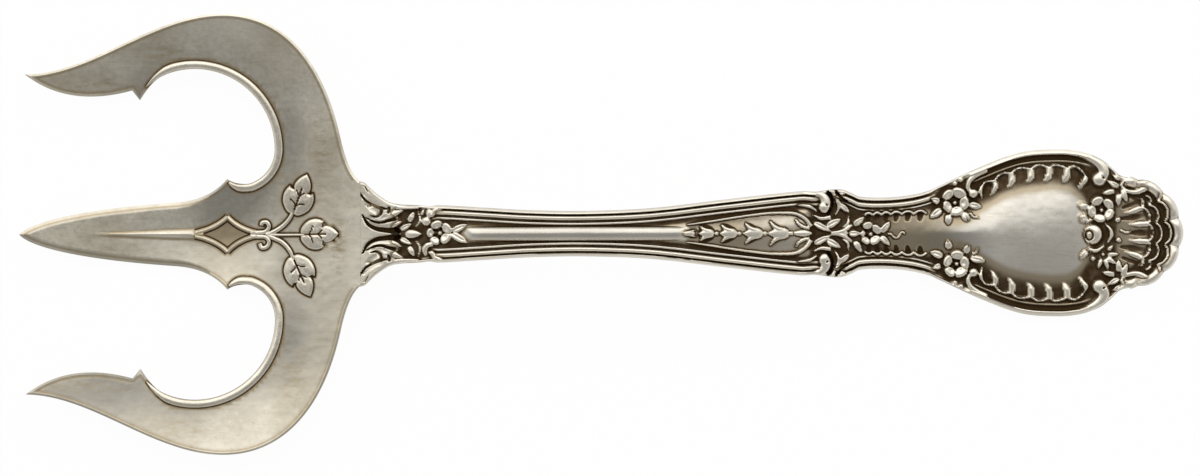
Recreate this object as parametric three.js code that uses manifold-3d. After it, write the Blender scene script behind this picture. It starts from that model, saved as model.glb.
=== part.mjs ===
// A bread fork in silver: a dished head with three tines, wire and leaf work laid on it, and a struck
// handle that is lap-soldered to the head and ends in a shell.
// Millimetres, +Z up. X runs from the tines to the shell, Y goes across the head, Z = 0 is the table.

import * as THREE from "three";
import { mergeVertices } from "three/addons/utils/BufferGeometryUtils.js";
import Module from "manifold-3d";

const wasm = await Module();
wasm.setup();

// Head: its plan, measured from the tip of the centre tine
const heelX = 43.9;
const rootLength = 14.55;
const headHalfWidth = 37.8;
const crestBack = 8.9;
const outerTipX = 1.2;
const outerTipY = 27.4;
const tineHalfWidth = 5.5;
const eyeY = 14.6;
const archRadius = 13.84;
const heelRadius = 6.2;
const cuspHeight = 9.5;
const barbRadius = 12.7;
const barbDegrees = 138;
const rootHalfWidth = 9;

// Head: its thickness and its two curves
const tipThickness = 1.1;
const bellyThickness = 1.9;
const rootThickness = 2.2;
const bellyX = 26;
const sweepRadius = 121;
const dishRadius = 250;
const restFlat = 0.12;

// Work laid on the head
const solderGap = 0.1;
const wireHalfWidth = 0.62;
const wireHeight = 0.5;
const midribLength = 19;
const midribHeight = 0.45;
const diamondLength = 9.4;
const diamondHalfHeight = 3.8;
const diamondBar = 0.95;
const sprigHeight = 0.5;
const leafLength = 7.2;
const leafHalfWidth = 2.6;
const stemHalfWidth = 0.42;
const voluteRadius = 0.8;
const knotRadius = 0.75;
const stemLift = 0.03;

// Lap joint between head and handle
const solderThickness = 0.15;
const tongueLength = 7.5;
const tongueHalfWidth = 4.6;
const tongueThickness = 1;
const lapClearance = 0.3;

// Handle: the lengths of its stretches, one after the other
const flareLength = 11.8;
const shaftLength = 63.6;
const shoulderLength = 8.5;
const waistLength = 15.6;
const medallionLength = 31;
const shellLength = 10.9;

// Handle: its half widths and thicknesses
const collarHalfWidth = 4.9;
const shaftHalfWidth = 3.87;
const shoulderHalfWidth = 7.4;
const waistHalfWidth = 6.1;
const medallionHalfWidth = 14.35;
const shellRootHalfWidth = 9.9;
const crestReach = 36.4;
const neckThickness = 3.5;
const shaftThickness = 3.4;
const waistThickness = 2.8;
const medallionThickness = 2.4;

// Handle: its ornament
const sinkDepth = 0.5;
const huskCount = 4;
const huskLength = 2.9;
const huskGrowth = 0.2;
const petalCount = 5;
const roseRadius = 1.85;
const fluteCount = 6;
const fluteLength = 2.6;
const scallopCount = 7;
const shellLobes = 7;
const shellRadius = 9.75;
const lobeDepth = 0.45;
const shellThickness = 2;

// Places that follow from these sizes
const seamX = heelX + rootLength;
const handleX = seamX + solderThickness;
const eyeX = heelX - archRadius;
const heelCentreX = heelX - heelRadius;
const crestX = heelX - crestBack;
const diamondX = heelCentreX - 2.1;
const sprigX = diamondX + diamondLength * 0.6;
const shoulderS = flareLength + shaftLength;
const waistS = shoulderS + shoulderLength;
const medallionS = waistS + waistLength;
const shellS = medallionS + medallionLength;
const overallLength = handleX + shellS + shellLength;
const padS = medallionS + medallionLength * 0.64;

// Helpers for curves
const vec2 = (x, y) => new THREE.Vector2(x, y);
const radians = THREE.MathUtils.degToRad;
const { clamp, lerp, smoothstep } = THREE.MathUtils;

// A smooth function through [place, value] pairs, by cubic pieces
function through(pairs) {
  const slope = (i) => {
    const before = pairs[Math.max(i - 1, 0)];
    const after = pairs[Math.min(i + 1, pairs.length - 1)];
    return (after[1] - before[1]) / (after[0] - before[0]);
  };
  return (place) => {
    const at = clamp(place, pairs[0][0], pairs.at(-1)[0]);
    const i = Math.max(pairs.findLastIndex((pair, n) => pair[0] <= at && n < pairs.length - 1), 0);
    const span = pairs[i + 1][0] - pairs[i][0];
    const t = (at - pairs[i][0]) / span;
    const rise = (t ** 3 - 2 * t ** 2 + t) * slope(i) + (t ** 3 - t ** 2) * slope(i + 1);
    return lerp(pairs[i][1], pairs[i + 1][1], t * t * (3 - 2 * t)) + rise * span;
  };
}

// Heights: the top of the head, then the crown line and the underside of the handle
const headThickness = through([[0, tipThickness], [bellyX, bellyThickness], [seamX, rootThickness]]);
const sweepRise = (x) => (x - bellyX) ** 2 / (2 * sweepRadius);
const headTop = (x, y) => bellyThickness - restFlat + sweepRise(x) + y ** 2 / (2 * dishRadius);
const headUnder = (x, y) => headTop(x, y) - headThickness(x);
const seamTop = headTop(seamX, 0);
const seamSlope = (seamX - bellyX) / sweepRadius;
const crestTop = seamTop + (seamSlope * crestReach) / 2;
const padTop = medallionThickness - restFlat;
const crownLine = (s) => {
  if (s < crestReach) {
    return seamTop + seamSlope * (s - s ** 2 / (2 * crestReach));
  }
  return lerp(crestTop, padTop, smoothstep(s, crestReach, padS));
};
const handleThickness = through([
  [0, rootThickness],
  [tongueLength, neckThickness],
  [crestReach, shaftThickness],
  [waistS, waistThickness],
  [padS, medallionThickness],
  [shellS + shellLength, shellThickness],
]);
const handleUnder = (s) => crownLine(s) - handleThickness(s);
const lapTop = seamTop - rootThickness + tongueThickness;

// Solids: closed meshes that are joined and cut
function solidOf(geometry) {
  const bare = geometry.clone();
  bare.deleteAttribute("normal");
  bare.deleteAttribute("uv");
  const merged = mergeVertices(bare);
  const corners = merged.index.array;
  const kept = [];
  for (let i = 0; i < corners.length; i += 3) {
    const [a, b, c] = corners.slice(i, i + 3);
    if (a !== b && b !== c && a !== c) {
      kept.push(a, b, c);
    }
  }
  const vertProperties = Float32Array.from(merged.attributes.position.array);
  return new wasm.Manifold(new wasm.Mesh({ numProp: 3, vertProperties, triVerts: Uint32Array.from(kept) }));
}

function geometryOf(solid) {
  const made = solid.getMesh();
  const geometry = new THREE.BufferGeometry();
  geometry.setAttribute("position", new THREE.BufferAttribute(Float32Array.from(made.vertProperties), 3));
  geometry.setIndex(new THREE.BufferAttribute(Uint32Array.from(made.triVerts), 1));
  const faceted = geometry.toNonIndexed();
  faceted.computeVertexNormals();
  return faceted;
}

const joined = (solids) => solids.reduce((whole, solid) => whole.add(solid));

function boxBetween(low, high) {
  const size = new THREE.Vector3().subVectors(high, low);
  const box = new THREE.BoxGeometry(size.x, size.y, size.z);
  const centre = new THREE.Vector3().addVectors(low, high).multiplyScalar(0.5);
  return solidOf(box.translate(centre.x, centre.y, centre.z));
}

function prism(points, low, high) {
  const shape = new THREE.Shape(points);
  const geometry = new THREE.ExtrudeGeometry(shape, { depth: high - low, bevelEnabled: false });
  return solidOf(geometry.translate(0, 0, low));
}

// A closed skin over a row of rings, with a fan over each end that is open
function loft(rings) {
  const count = rings[0].length;
  const points = rings.flat();
  const faces = [];
  for (let start = 0; start < count * (rings.length - 1); start += count) {
    for (let i = 0; i < count; i += 1) {
      const j = (i + 1) % count;
      faces.push([start + i, start + j, start + count + j], [start + i, start + count + j, start + count + i]);
    }
  }
  for (const [ring, first, turn] of [[rings[0], 0, -1], [rings.at(-1), points.length - count, 1]]) {
    const centre = ring.reduce((sum, p) => sum.add(p), new THREE.Vector3()).divideScalar(count);
    const spread = Math.max(...ring.map((p) => Math.hypot(p.x - ring[0].x, p.y - ring[0].y)));
    if (spread > 0.01) {
      points.push(centre);
      for (let i = 0; i < count; i += 1) {
        const j = (i + 1) % count;
        const [a, b] = turn > 0 ? [first + i, first + j] : [first + j, first + i];
        faces.push([a, b, points.length - 1]);
      }
    }
  }
  const volume = faces.reduce((sum, [a, b, c]) => {
    return sum + points[a].dot(new THREE.Vector3().crossVectors(points[b], points[c]));
  }, 0);
  const outward = volume > 0 ? faces : faces.map(([a, b, c]) => [a, c, b]);
  const geometry = new THREE.BufferGeometry().setFromPoints(points);
  geometry.setIndex(outward.flat());
  return solidOf(geometry);
}

// Sections of a ridge, as [share of half width, share of height]: a round wire, and a struck edge
const wireSection = [[1, 0], [0.92, 0.45], [0.5, 0.95], [-0.5, 0.95], [-0.92, 0.45], [-1, 0]];
const struckSection = [[1, 0], [0.42, 1], [-0.42, 1], [-1, 0]];

// A ridge along a path in plan. swell(t) gives its share of full size, ground(x, y) the height under it,
// and foot is how far its underside lies below that height.
function ridge(section, path, halfWidth, height, swell, ground, foot) {
  const rings = path.map((point, i) => {
    const before = path[Math.max(i - 1, 0)];
    const after = path[Math.min(i + 1, path.length - 1)];
    const along = after.clone().sub(before).normalize();
    const share = swell(i / (path.length - 1));
    return section.map(([side, rise]) => {
      const across = side * halfWidth * share;
      const x = point.x - along.y * across;
      const y = point.y + along.x * across;
      const up = rise === 0 ? -foot : rise * height * share - foot * (1 - share);
      return new THREE.Vector3(x, y, ground(x, y) + up);
    });
  });
  return loft(rings);
}

const leafSwell = (t) => Math.sin(Math.PI * t ** 0.85) ** 0.8;
const tailSwell = (t) => Math.min(1, 5 * t, 5 * (1 - t));
const bend = (start, control, end, steps) => {
  return new THREE.QuadraticBezierCurve(vec2(...start), vec2(...control), vec2(...end)).getPoints(steps);
};
const mirrored = (points) => points.map((point) => vec2(point.x, -point.y));

// Finishes
function silver(colour, roughness) {
  return new THREE.MeshStandardMaterial({ color: colour, roughness, metalness: 1 });
}

function meshOf(name, solid, colour, roughness) {
  const mesh = new THREE.Mesh(geometryOf(solid), silver(colour, roughness));
  mesh.name = name;
  return mesh;
}

// Head plan: one half from the tip of the centre tine round to the root, then its mirror image
const barb = vec2(eyeX + barbRadius * Math.cos(radians(barbDegrees)), eyeY + barbRadius * Math.sin(radians(barbDegrees)));
const archEnd = radians(116);
const heelStart = radians(-75);

function halfHeadPlan(endX) {
  const plan = new THREE.Path();
  const shankX = heelX - 16.9;
  plan.moveTo(0, 0);
  plan.bezierCurveTo(2, 2.3, 11, tineHalfWidth - 1.1, shankX, tineHalfWidth);
  plan.quadraticCurveTo(diamondX - 3, tineHalfWidth + 0.5, diamondX, cuspHeight);
  const heelLow = eyeY + heelRadius * Math.sin(heelStart);
  plan.quadraticCurveTo(diamondX + 1, heelLow, heelCentreX + heelRadius * Math.cos(heelStart), heelLow);
  plan.absarc(heelCentreX, eyeY, heelRadius, heelStart, 0, false);
  plan.absarc(eyeX, eyeY, archRadius, 0, archEnd, false);
  plan.quadraticCurveTo(barb.x + 1.6, barb.y + 2.6, barb.x, barb.y);
  plan.lineTo(barb.x - 1.3, barb.y + 1.65);
  plan.quadraticCurveTo(outerTipX + 7.2, outerTipY - 5.7, outerTipX, outerTipY);
  plan.bezierCurveTo(outerTipX + 11.3, outerTipY + 0.2, crestX - 12, headHalfWidth, crestX, headHalfWidth);
  const flankX = seamX - 3.3;
  const flankY = rootHalfWidth + 7.6;
  plan.bezierCurveTo(crestX + 11, headHalfWidth, flankX - 2.7, flankY + 12.4, flankX, flankY);
  plan.quadraticCurveTo(seamX - 2, rootHalfWidth + 1.6, seamX, rootHalfWidth);
  plan.lineTo(endX, rootHalfWidth);
  return plan.getPoints(7);
}

function headPlan(endX) {
  const upper = halfHeadPlan(endX);
  return [...upper, ...mirrored(upper.slice(1)).reverse()];
}

// Plate: the plan cut out of a slab with the sweep along X and the dish across Y
function headPlate(endX) {
  const margin = 1;
  const length = endX + 2 * margin;
  const width = 2 * (headHalfWidth + margin);
  const pitch = 3.1;
  const slab = new THREE.BoxGeometry(length, width, 1, Math.round(length / pitch), Math.round(width / pitch), 1);
  slab.translate(endX / 2, 0, 0);
  const place = slab.attributes.position;
  for (let i = 0; i < place.count; i += 1) {
    const surface = place.getZ(i) > 0 ? headTop : headUnder;
    place.setZ(i, surface(place.getX(i), place.getY(i)));
  }
  return solidOf(slab).intersect(prism(headPlan(endX), -5, seamTop + 20));
}

function tonguePlan(grown) {
  const half = tongueHalfWidth + grown;
  const plan = new THREE.Path();
  const turnX = seamX + tongueLength - tongueHalfWidth;
  plan.moveTo(seamX - tongueThickness, -half);
  plan.lineTo(turnX, -half);
  plan.absarc(turnX, 0, half, -Math.PI / 2, Math.PI / 2, false);
  plan.lineTo(seamX - tongueThickness, half);
  return plan.getPoints(8);
}

function belowTable() {
  return boxBetween(new THREE.Vector3(-5, -50, -10), new THREE.Vector3(overallLength + 5, 50, 0));
}

function forkHead() {
  const blank = headPlate(seamX);
  const tongue = prism(tonguePlan(0), lapTop - tongueThickness, lapTop);
  const midribEnd = diamondX - diamondLength * 0.55;
  const midribPath = bend([midribEnd - midribLength, 0], [midribEnd - midribLength / 2, 0], [midribEnd, 0], 6);
  const midribSwell = (t) => Math.min(1, 1.6 * t, 8 * (1 - t));
  const midrib = ridge(struckSection, midribPath, 0.9, midribHeight, midribSwell, headTop, sinkDepth);
  return joined([blank, tongue, midrib]).subtract(belowTable());
}

function solderSeam() {
  const film = prism(tonguePlan(0), lapTop, lapTop + solderThickness);
  const behind = boxBetween(new THREE.Vector3(seamX - 10, -50, 0), new THREE.Vector3(seamX, 50, lapTop + 5));
  const slice = boxBetween(new THREE.Vector3(seamX, -50, lapTop), new THREE.Vector3(handleX, 50, seamTop + 20));
  return film.subtract(behind).add(headPlate(handleX).intersect(slice));
}

// Wire along an inner arc: it follows the arch and the heel, and tapers at both ends
function edgeWire(side) {
  const inset = wireHalfWidth + 0.1;
  const points = [];
  for (let degrees = 124; degrees > 0; degrees -= 8) {
    const turn = radians(degrees);
    const reach = archRadius + inset - 1.2 * smoothstep(degrees, 100, 140);
    points.push(vec2(eyeX + reach * Math.cos(turn), eyeY + reach * Math.sin(turn)));
  }
  for (let degrees = 0; degrees >= -78; degrees -= 13) {
    const turn = radians(degrees);
    const reach = heelRadius + inset;
    points.push(vec2(heelCentreX + reach * Math.cos(turn), eyeY + reach * Math.sin(turn)));
  }
  const path = side > 0 ? points : mirrored(points);
  const seat = (x, y) => headTop(x, y) + solderGap;
  return ridge(wireSection, path, wireHalfWidth, wireHeight, (t) => Math.max(tailSwell(t), 0.12), seat, 0);
}

// A flat plate of sprig work that follows the dish of the head
function laidPlate(shape, height, bevel) {
  const geometry = new THREE.ExtrudeGeometry(shape, {
    depth: height - bevel,
    bevelThickness: bevel,
    bevelSize: bevel,
    bevelOffset: -bevel,
    bevelSegments: 1,
    curveSegments: 3,
  });
  const place = geometry.attributes.position;
  for (let i = 0; i < place.count; i += 1) {
    const up = Math.max(place.getZ(i), 0);
    place.setZ(i, up + headTop(place.getX(i), place.getY(i)) + solderGap);
  }
  return solidOf(geometry);
}

function diamondLoop(path, grown) {
  const back = diamondX - diamondLength * 0.57 - grown * 2;
  const front = sprigX + grown * 2;
  const top = diamondHalfHeight + grown;
  path.moveTo(back, 0);
  path.quadraticCurveTo(diamondX - 1.6, -top * 0.42, diamondX, -top);
  path.quadraticCurveTo(diamondX + 1.4, -top * 0.42, front, 0);
  path.quadraticCurveTo(diamondX + 1.4, top * 0.42, diamondX, top);
  path.quadraticCurveTo(diamondX - 1.6, top * 0.42, back, 0);
  return path;
}

function tineDiamond() {
  const shape = diamondLoop(new THREE.Shape(), 0);
  shape.holes.push(diamondLoop(new THREE.Path(), -diamondBar));
  return laidPlate(shape, sprigHeight, 0.2);
}

// Stems: a knot beyond the diamond, two volutes, and three stems that bend to the leaves
const leafBases = [
  { name: "leaf_upper", x: sprigX + 5.6, y: 3.6, degrees: 70 },
  { name: "leaf_middle", x: sprigX + 7.2, y: 0, degrees: 0 },
  { name: "leaf_lower", x: sprigX + 5.6, y: -3.6, degrees: -70 },
];

function sprigStem() {
  const knotX = sprigX + 0.25;
  const forkX = knotX + 1.9;
  const seat = (x, y) => headTop(x, y) + solderGap;
  const tie = new THREE.LatheGeometry(
    [vec2(0, 0), vec2(knotRadius, 0), vec2(knotRadius, 0.6 * sprigHeight), vec2(0.5, sprigHeight), vec2(0, sprigHeight)],
    10,
  );
  tie.rotateX(Math.PI / 2).translate(knotX + knotRadius, 0, seat(knotX + knotRadius, 0));
  const parts = [solidOf(tie)];
  const steady = (t) => 1 - 0.35 * t;
  for (const [n, base] of leafBases.entries()) {
    const start = [knotX + knotRadius, 0.25 * Math.sign(base.y)];
    const path = bend(start, [forkX + 2.4, 0.5 * Math.sign(base.y)], [base.x - 0.2, base.y], 5);
    const lifted = -stemLift * (n + 1);
    parts.push(ridge(struckSection, path, stemHalfWidth, sprigHeight * (0.9 - 0.08 * n), steady, seat, lifted));
  }
  for (const side of [1, -1]) {
    const tip = vec2(knotX + knotRadius, side * 1.45);
    const path = bend([knotX + knotRadius, side * 0.2], [forkX + 0.7, side * 0.9], [tip.x, tip.y], 4);
    parts.push(ridge(struckSection, path, stemHalfWidth, sprigHeight * 0.8, steady, seat, -stemLift * (4.5 + side * 0.5)));
    const curl = new THREE.LatheGeometry(
      [vec2(0, 0), vec2(voluteRadius, 0), vec2(voluteRadius * 0.8, sprigHeight * 0.7), vec2(0, sprigHeight)],
      9,
    );
    parts.push(solidOf(curl.rotateX(Math.PI / 2).translate(tip.x, tip.y, seat(tip.x, tip.y) + stemLift * 0.5)));
  }
  return joined(parts);
}

function leafShape(base) {
  const turn = radians(base.degrees);
  const lobes = [
    [0, 0],
    [-0.04, 0.42],
    [0.08, 0.85],
    [0.3, 1],
    [0.42, 0.78],
    [0.6, 0.74],
    [0.72, 0.44],
    [0.86, 0.3],
    [1, 0],
  ];
  const upper = lobes.map(([along, across]) => vec2(along * leafLength, across * leafHalfWidth));
  const outline = [...upper, ...mirrored(upper.slice(1, -1)).reverse()];
  const origin = vec2();
  return new THREE.Shape(outline.map((p) => p.rotateAround(origin, turn).add(vec2(base.x, base.y))));
}

// Handle plan: its half width along its length
const halfWidth = through([
  [0, rootHalfWidth],
  [flareLength * 0.2, lerp(collarHalfWidth, rootHalfWidth, 0.56)],
  [flareLength * 0.45, lerp(collarHalfWidth, rootHalfWidth, 0.12)],
  [flareLength, collarHalfWidth],
  [flareLength + shaftLength * 0.14, collarHalfWidth - 0.45],
  [flareLength + shaftLength * 0.42, shaftHalfWidth],
  [flareLength + shaftLength * 0.6, lerp(shaftHalfWidth, shoulderHalfWidth, 0.14)],
  [flareLength + shaftLength * 0.8, lerp(shaftHalfWidth, shoulderHalfWidth, 0.57)],
  [shoulderS, shoulderHalfWidth - 0.2],
  [waistS - 1.4, shoulderHalfWidth + 0.1],
  [waistS + 1.6, waistHalfWidth + 0.2],
  [waistS + waistLength * 0.4, waistHalfWidth],
  [waistS + waistLength * 0.75, waistHalfWidth + 0.6],
  [medallionS, lerp(waistHalfWidth, medallionHalfWidth, 0.25)],
  [medallionS + medallionLength * 0.25, medallionHalfWidth - 2.6],
  [medallionS + medallionLength * 0.44, medallionHalfWidth - 0.55],
  [padS, medallionHalfWidth],
  [medallionS + medallionLength * 0.8, medallionHalfWidth - 0.45],
  [shellS - 3.5, medallionHalfWidth - 1.55],
  [shellS, shellRootHalfWidth],
]);

// Mouldings across the handle, from the edge inwards: [inset, height against the crown line], then the
// heights of the flank and of the crown on the axis
const threads = [
  [0, -1], [0.12, -0.5], [0.38, -0.38], [0.68, -0.55], [0.85, -0.95], [1.02, -0.6],
  [1.28, -0.42], [1.56, -0.6], [1.73, -0.95], [2.1, -0.55], [2.4, -0.95], [2.8, -0.9],
];
const plainGround = (height) => threads.map(([inset]) => [inset, height - 0.35 * (1 - Math.min(inset, 0.4) / 0.4)]);
const medallionMould = [
  [0, -1.25], [0.15, -0.6], [0.55, -0.3], [1, -0.55], [1.2, -1.1], [1.8, -1.1],
  [2.05, -0.85], [2.3, -1.1], [2.6, -1.1], [3, -1], [4.3, -0.85], [5.7, -0.4],
];
const groundLevel = -0.9;
const panelLevel = -0.55;
const sections = [
  { s: 0, mould: plainGround(0), flank: 0, crown: 0 },
  { s: flareLength * 0.5, mould: plainGround(-0.2), flank: -0.1, crown: 0 },
  { s: flareLength * 0.8, mould: plainGround(groundLevel), flank: groundLevel, crown: groundLevel },
  { s: flareLength + 1, mould: plainGround(groundLevel), flank: groundLevel, crown: groundLevel },
  { s: flareLength + 2.6, mould: threads, flank: groundLevel, crown: groundLevel },
  { s: flareLength + 5.5, mould: threads, flank: groundLevel, crown: groundLevel },
  { s: flareLength + 8, mould: threads, flank: -0.3, crown: 0 },
  { s: shoulderS - 22, mould: threads, flank: -0.3, crown: 0 },
  { s: shoulderS - 15, mould: threads, flank: panelLevel, crown: panelLevel + 0.1 },
  { s: shoulderS, mould: threads, flank: panelLevel, crown: panelLevel },
  { s: shoulderS + 4, mould: plainGround(groundLevel), flank: groundLevel, crown: groundLevel },
  { s: waistS - 1, mould: plainGround(groundLevel), flank: groundLevel, crown: groundLevel },
  { s: waistS + 1.5, mould: threads, flank: groundLevel, crown: groundLevel },
  { s: waistS + 6, mould: threads, flank: -0.7, crown: -0.5 },
  { s: medallionS - 1.5, mould: threads, flank: -0.5, crown: 0 },
  { s: medallionS + 1, mould: plainGround(groundLevel), flank: -0.3, crown: 0.1 },
  { s: medallionS + 4.5, mould: plainGround(groundLevel), flank: -0.1, crown: 0.2 },
  { s: medallionS + 7, mould: medallionMould, flank: 0.1, crown: 0.35 },
  { s: shellS - 7, mould: medallionMould, flank: 0.05, crown: 0.3 },
  { s: shellS - 3.5, mould: plainGround(groundLevel), flank: groundLevel, crown: groundLevel },
  { s: shellS, mould: plainGround(groundLevel), flank: groundLevel, crown: groundLevel },
];

function sectionAt(s) {
  const i = clamp(sections.findLastIndex((section) => section.s <= s), 0, sections.length - 2);
  const [from, to] = [sections[i], sections[i + 1]];
  const t = smoothstep(s, from.s, to.s);
  const half = halfWidth(s);
  const mould = from.mould.map(([inset, height], n) => {
    return vec2(half - lerp(inset, to.mould[n][0], t), lerp(height, to.mould[n][1], t));
  });
  const inner = mould.at(-1).x;
  mould.push(vec2(inner * 0.62, lerp(from.flank, to.flank, t)));
  mould.push(vec2(0, lerp(from.crown, to.crown, t)));
  return mould;
}

function handleRing(s) {
  const top = sectionAt(s);
  const crown = crownLine(s);
  const under = handleUnder(s);
  const edge = crown + top[0].y;
  const half = top[0].x;
  const lift = Math.min(0.28 * handleThickness(s), edge - under - 0.3);
  const belly = [[0.96 * half, under + lift], [0.6 * half, under + 0.25 * lift], [0, under]];
  const x = handleX + s;
  const left = top.map((p) => new THREE.Vector3(x, p.x, crown + p.y));
  const low = belly.map(([y, z]) => new THREE.Vector3(x, -y, z));
  const other = (row) => row.slice(0, -1).map((p) => new THREE.Vector3(p.x, -p.y, p.z)).reverse();
  return [...left, ...other(left), ...low, ...other(low)];
}

function handleBlank() {
  const stretches = [
    [0, flareLength, 7],
    [flareLength, shoulderS, 13],
    [shoulderS, waistS, 5],
    [waistS, medallionS, 6],
    [medallionS, shellS, 11],
  ];
  const rings = [handleRing(0)];
  for (const [from, to, steps] of stretches) {
    for (let n = 1; n <= steps; n += 1) {
      rings.push(handleRing(lerp(from, to, n / steps)));
    }
  }
  return loft(rings);
}

// Ornament of the handle, placed by its distance s from the seam and y across
function raised(path, halfSize, height, level, swell = leafSwell) {
  const ground = (x) => crownLine(x - handleX) + level;
  const plan = path.map((p) => vec2(handleX + p.x, p.y));
  return ridge(struckSection, plan, halfSize, height, swell, ground, sinkDepth);
}

function bead(s, y, radius, level) {
  const ball = new THREE.SphereGeometry(radius, 6, 3).rotateX(Math.PI / 2);
  return solidOf(ball.translate(handleX + s, y, crownLine(s) + level));
}

function leaf(s, y, degrees, length, halfSize, level) {
  const turn = radians(degrees);
  const tip = [s + length * Math.cos(turn), y + length * Math.sin(turn)];
  const middle = [(s + tip[0]) / 2, (y + tip[1]) / 2];
  return raised(bend([s, y], middle, tip, 3), halfSize, 0.55, level);
}

function rosette(s, y, radius, turned, level) {
  const parts = [bead(s, y, radius * 0.24, level + 0.3)];
  for (let n = 0; n < petalCount; n += 1) {
    const turn = radians(turned + (360 * n) / petalCount);
    const reach = radius * 0.62;
    parts.push(bead(s + reach * Math.cos(turn), y + reach * Math.sin(turn), radius * 0.36, level + 0.1));
  }
  return parts;
}

function bothSides(make) {
  return [...make(1), ...make(-1)];
}

function neckPalmette(side) {
  const out = (s, y) => [s, side * y];
  return [
    raised(bend(out(0.6, 5.5), out(2.2, 5.2), out(4, 3.9), 4), 0.8, 0.5, -0.05),
    raised(bend(out(0.8, 3.1), out(3.6, 2.1), out(7.2, 3.7), 5), 0.75, 0.5, -0.2),
    raised(bend(out(1.6, 2.3), out(4.2, 0.9), out(7, 2.1), 5), 0.6, 0.5, -0.2),
    raised(bend(out(8.6, 2.1), out(9.6, 2.6), out(9.4, 4), 3), 0.5, 0.55, groundLevel),
    leaf(7.2, side * 0.9, side * 35, 1.7, 0.45, -0.6),
    bead(flareLength - 0.4, side * 2.3, 0.75, groundLevel + 0.2),
    bead(flareLength + 0.1, side * 3.5, 0.75, groundLevel + 0.2),
  ];
}

function neckRosette() {
  const s = flareLength + 1.9;
  return [
    leaf(flareLength - 4, 0, 0, 2.9, 0.75, -0.7),
    ...rosette(s, 0, 1.9, 36, groundLevel),
    leaf(s + 1.8, 0.25, 22, 3, 0.6, groundLevel),
    leaf(s + 1.8, -0.25, -22, 3, 0.6, groundLevel),
  ];
}

// Husks: bellflowers that open towards the tines, each larger than the last, with a bead between
function huskChain() {
  const parts = [];
  let s = shoulderS - 17.8;
  for (let n = 0; n < huskCount; n += 1) {
    const length = huskLength + n * huskGrowth;
    const spread = length * 0.55;
    const base = s + length;
    parts.push(raised(bend([s + length * 0.2, 0], [s + length / 2, 0], [base, 0], 4), spread * 0.6, 0.6, panelLevel));
    for (const side of [1, -1]) {
      const lip = bend([s, side * spread], [s + length * 0.45, side * spread * 0.3], [base, 0], 4);
      parts.push(raised(lip, 0.42, 0.5, panelLevel));
    }
    parts.push(bead(base + 0.45, 0, 0.36, panelLevel + 0.1));
    s = base + 1.1;
  }
  parts.push(leaf(s, 0, 0, 3, 0.6, panelLevel));
  return parts;
}

function panelBorder(side) {
  const border = new THREE.SplineCurve([
    vec2(shoulderS - 19, side * 1.35),
    vec2(shoulderS - 12, side * 2.3),
    vec2(shoulderS - 5, side * 3.35),
    vec2(shoulderS - 1, side * 3.35),
    vec2(shoulderS + 2, side * 1.3),
  ]);
  return [
    raised(border.getPoints(9), 0.3, 0.35, panelLevel, tailSwell),
    raised(bend([shoulderS - 1.2, side * 1], [shoulderS, side * 2.3], [shoulderS + 1.6, side * 1.1], 4), 0.45, 0.5, panelLevel),
  ];
}

function shoulderLeaves(side) {
  const out = (s, y) => [shoulderS + s, side * y];
  return [
    raised(bend(out(1.8, 6.4), out(5.6, 6.6), out(3.9, 4.2), 5), 0.7, 0.8, groundLevel, (t) => 0.55 + 0.45 * t),
    bead(shoulderS + 3.7, side * 4.3, 0.95, groundLevel + 0.15),
    raised(bend(out(2.5, 1.8), out(3.8, 1.5), out(5, 0.3), 4), 0.5, 0.55, groundLevel),
    raised(bend(out(4.4, 2.9), out(5.6, 1.6), out(7, 2.1), 4), 0.55, 0.55, groundLevel),
    raised(bend(out(5.4, 0.15), out(7.4, 0.3), out(8.8, 1.7), 4), 0.6, 0.65, groundLevel),
    raised(bend(out(5.6, 6.4), out(6.4, 5), out(7.8, 3.9), 4), 0.5, 0.6, groundLevel),
    bead(shoulderS + 7.4, side * 4.1, 0.75, groundLevel + 0.15),
  ];
}

function scallopedRow(side) {
  const points = [];
  const steps = scallopCount * 3;
  const from = waistS + 1.8;
  const to = medallionS - 2.5;
  for (let n = 0; n <= steps; n += 1) {
    const s = lerp(from, to, n / steps);
    const wave = Math.abs(Math.sin((Math.PI * scallopCount * n) / steps));
    points.push(vec2(s, side * (2.9 + 0.4 * wave)));
  }
  return [raised(points, 0.32, 0.5, -0.85, tailSwell)];
}

function waistRosette() {
  const s = waistS + 3.6;
  const tendril = new THREE.SplineCurve([
    vec2(s + 2.6, 0),
    vec2(s + 3.4, -0.5),
    vec2(s + 4.3, 0.35),
    vec2(s + 5.2, -0.1),
  ]);
  return [
    ...rosette(s, 0, 2.1, 110, -0.8),
    ...[45, -40, 130, -135].map((degrees) => {
      const turn = radians(degrees);
      return leaf(s + 1.5 * Math.cos(turn), 1.5 * Math.sin(turn), degrees * 0.8, 2.2, 0.55, -0.8);
    }),
    raised(tendril.getPoints(8), 0.2, 0.3, -0.6, tailSwell),
    leaf(waistS - 0.4, 0, 0, 1.8, 0.5, groundLevel),
  ];
}

// Large rosettes where the waist swells into the medallion
function cornerRosette(side) {
  const s = medallionS + 2.75;
  const y = side * 5.25;
  const leafDegrees = [-178, -145, -95, -50, -12];
  return [
    ...rosette(s, y, 2.6, side * 18, -0.65),
    ...leafDegrees.map((degrees) => {
      const turn = radians(side * degrees);
      return leaf(s + 2 * Math.cos(turn), y + 2 * Math.sin(turn), side * degrees, 2.2, 0.65, -0.65);
    }),
    bead(medallionS + 5.8, side * 6.85, 0.85, -0.5),
  ];
}

// Flutes: a scalloped edge that follows the rim, and a rib at each notch that runs in to the cushion
function insetPoint(s, inset, side) {
  const step = 0.05;
  const slope = (halfWidth(s + step) - halfWidth(s - step)) / (2 * step);
  const length = Math.hypot(1, slope);
  return vec2(s + (inset * slope) / length, side * (halfWidth(s) - inset / length));
}

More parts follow.
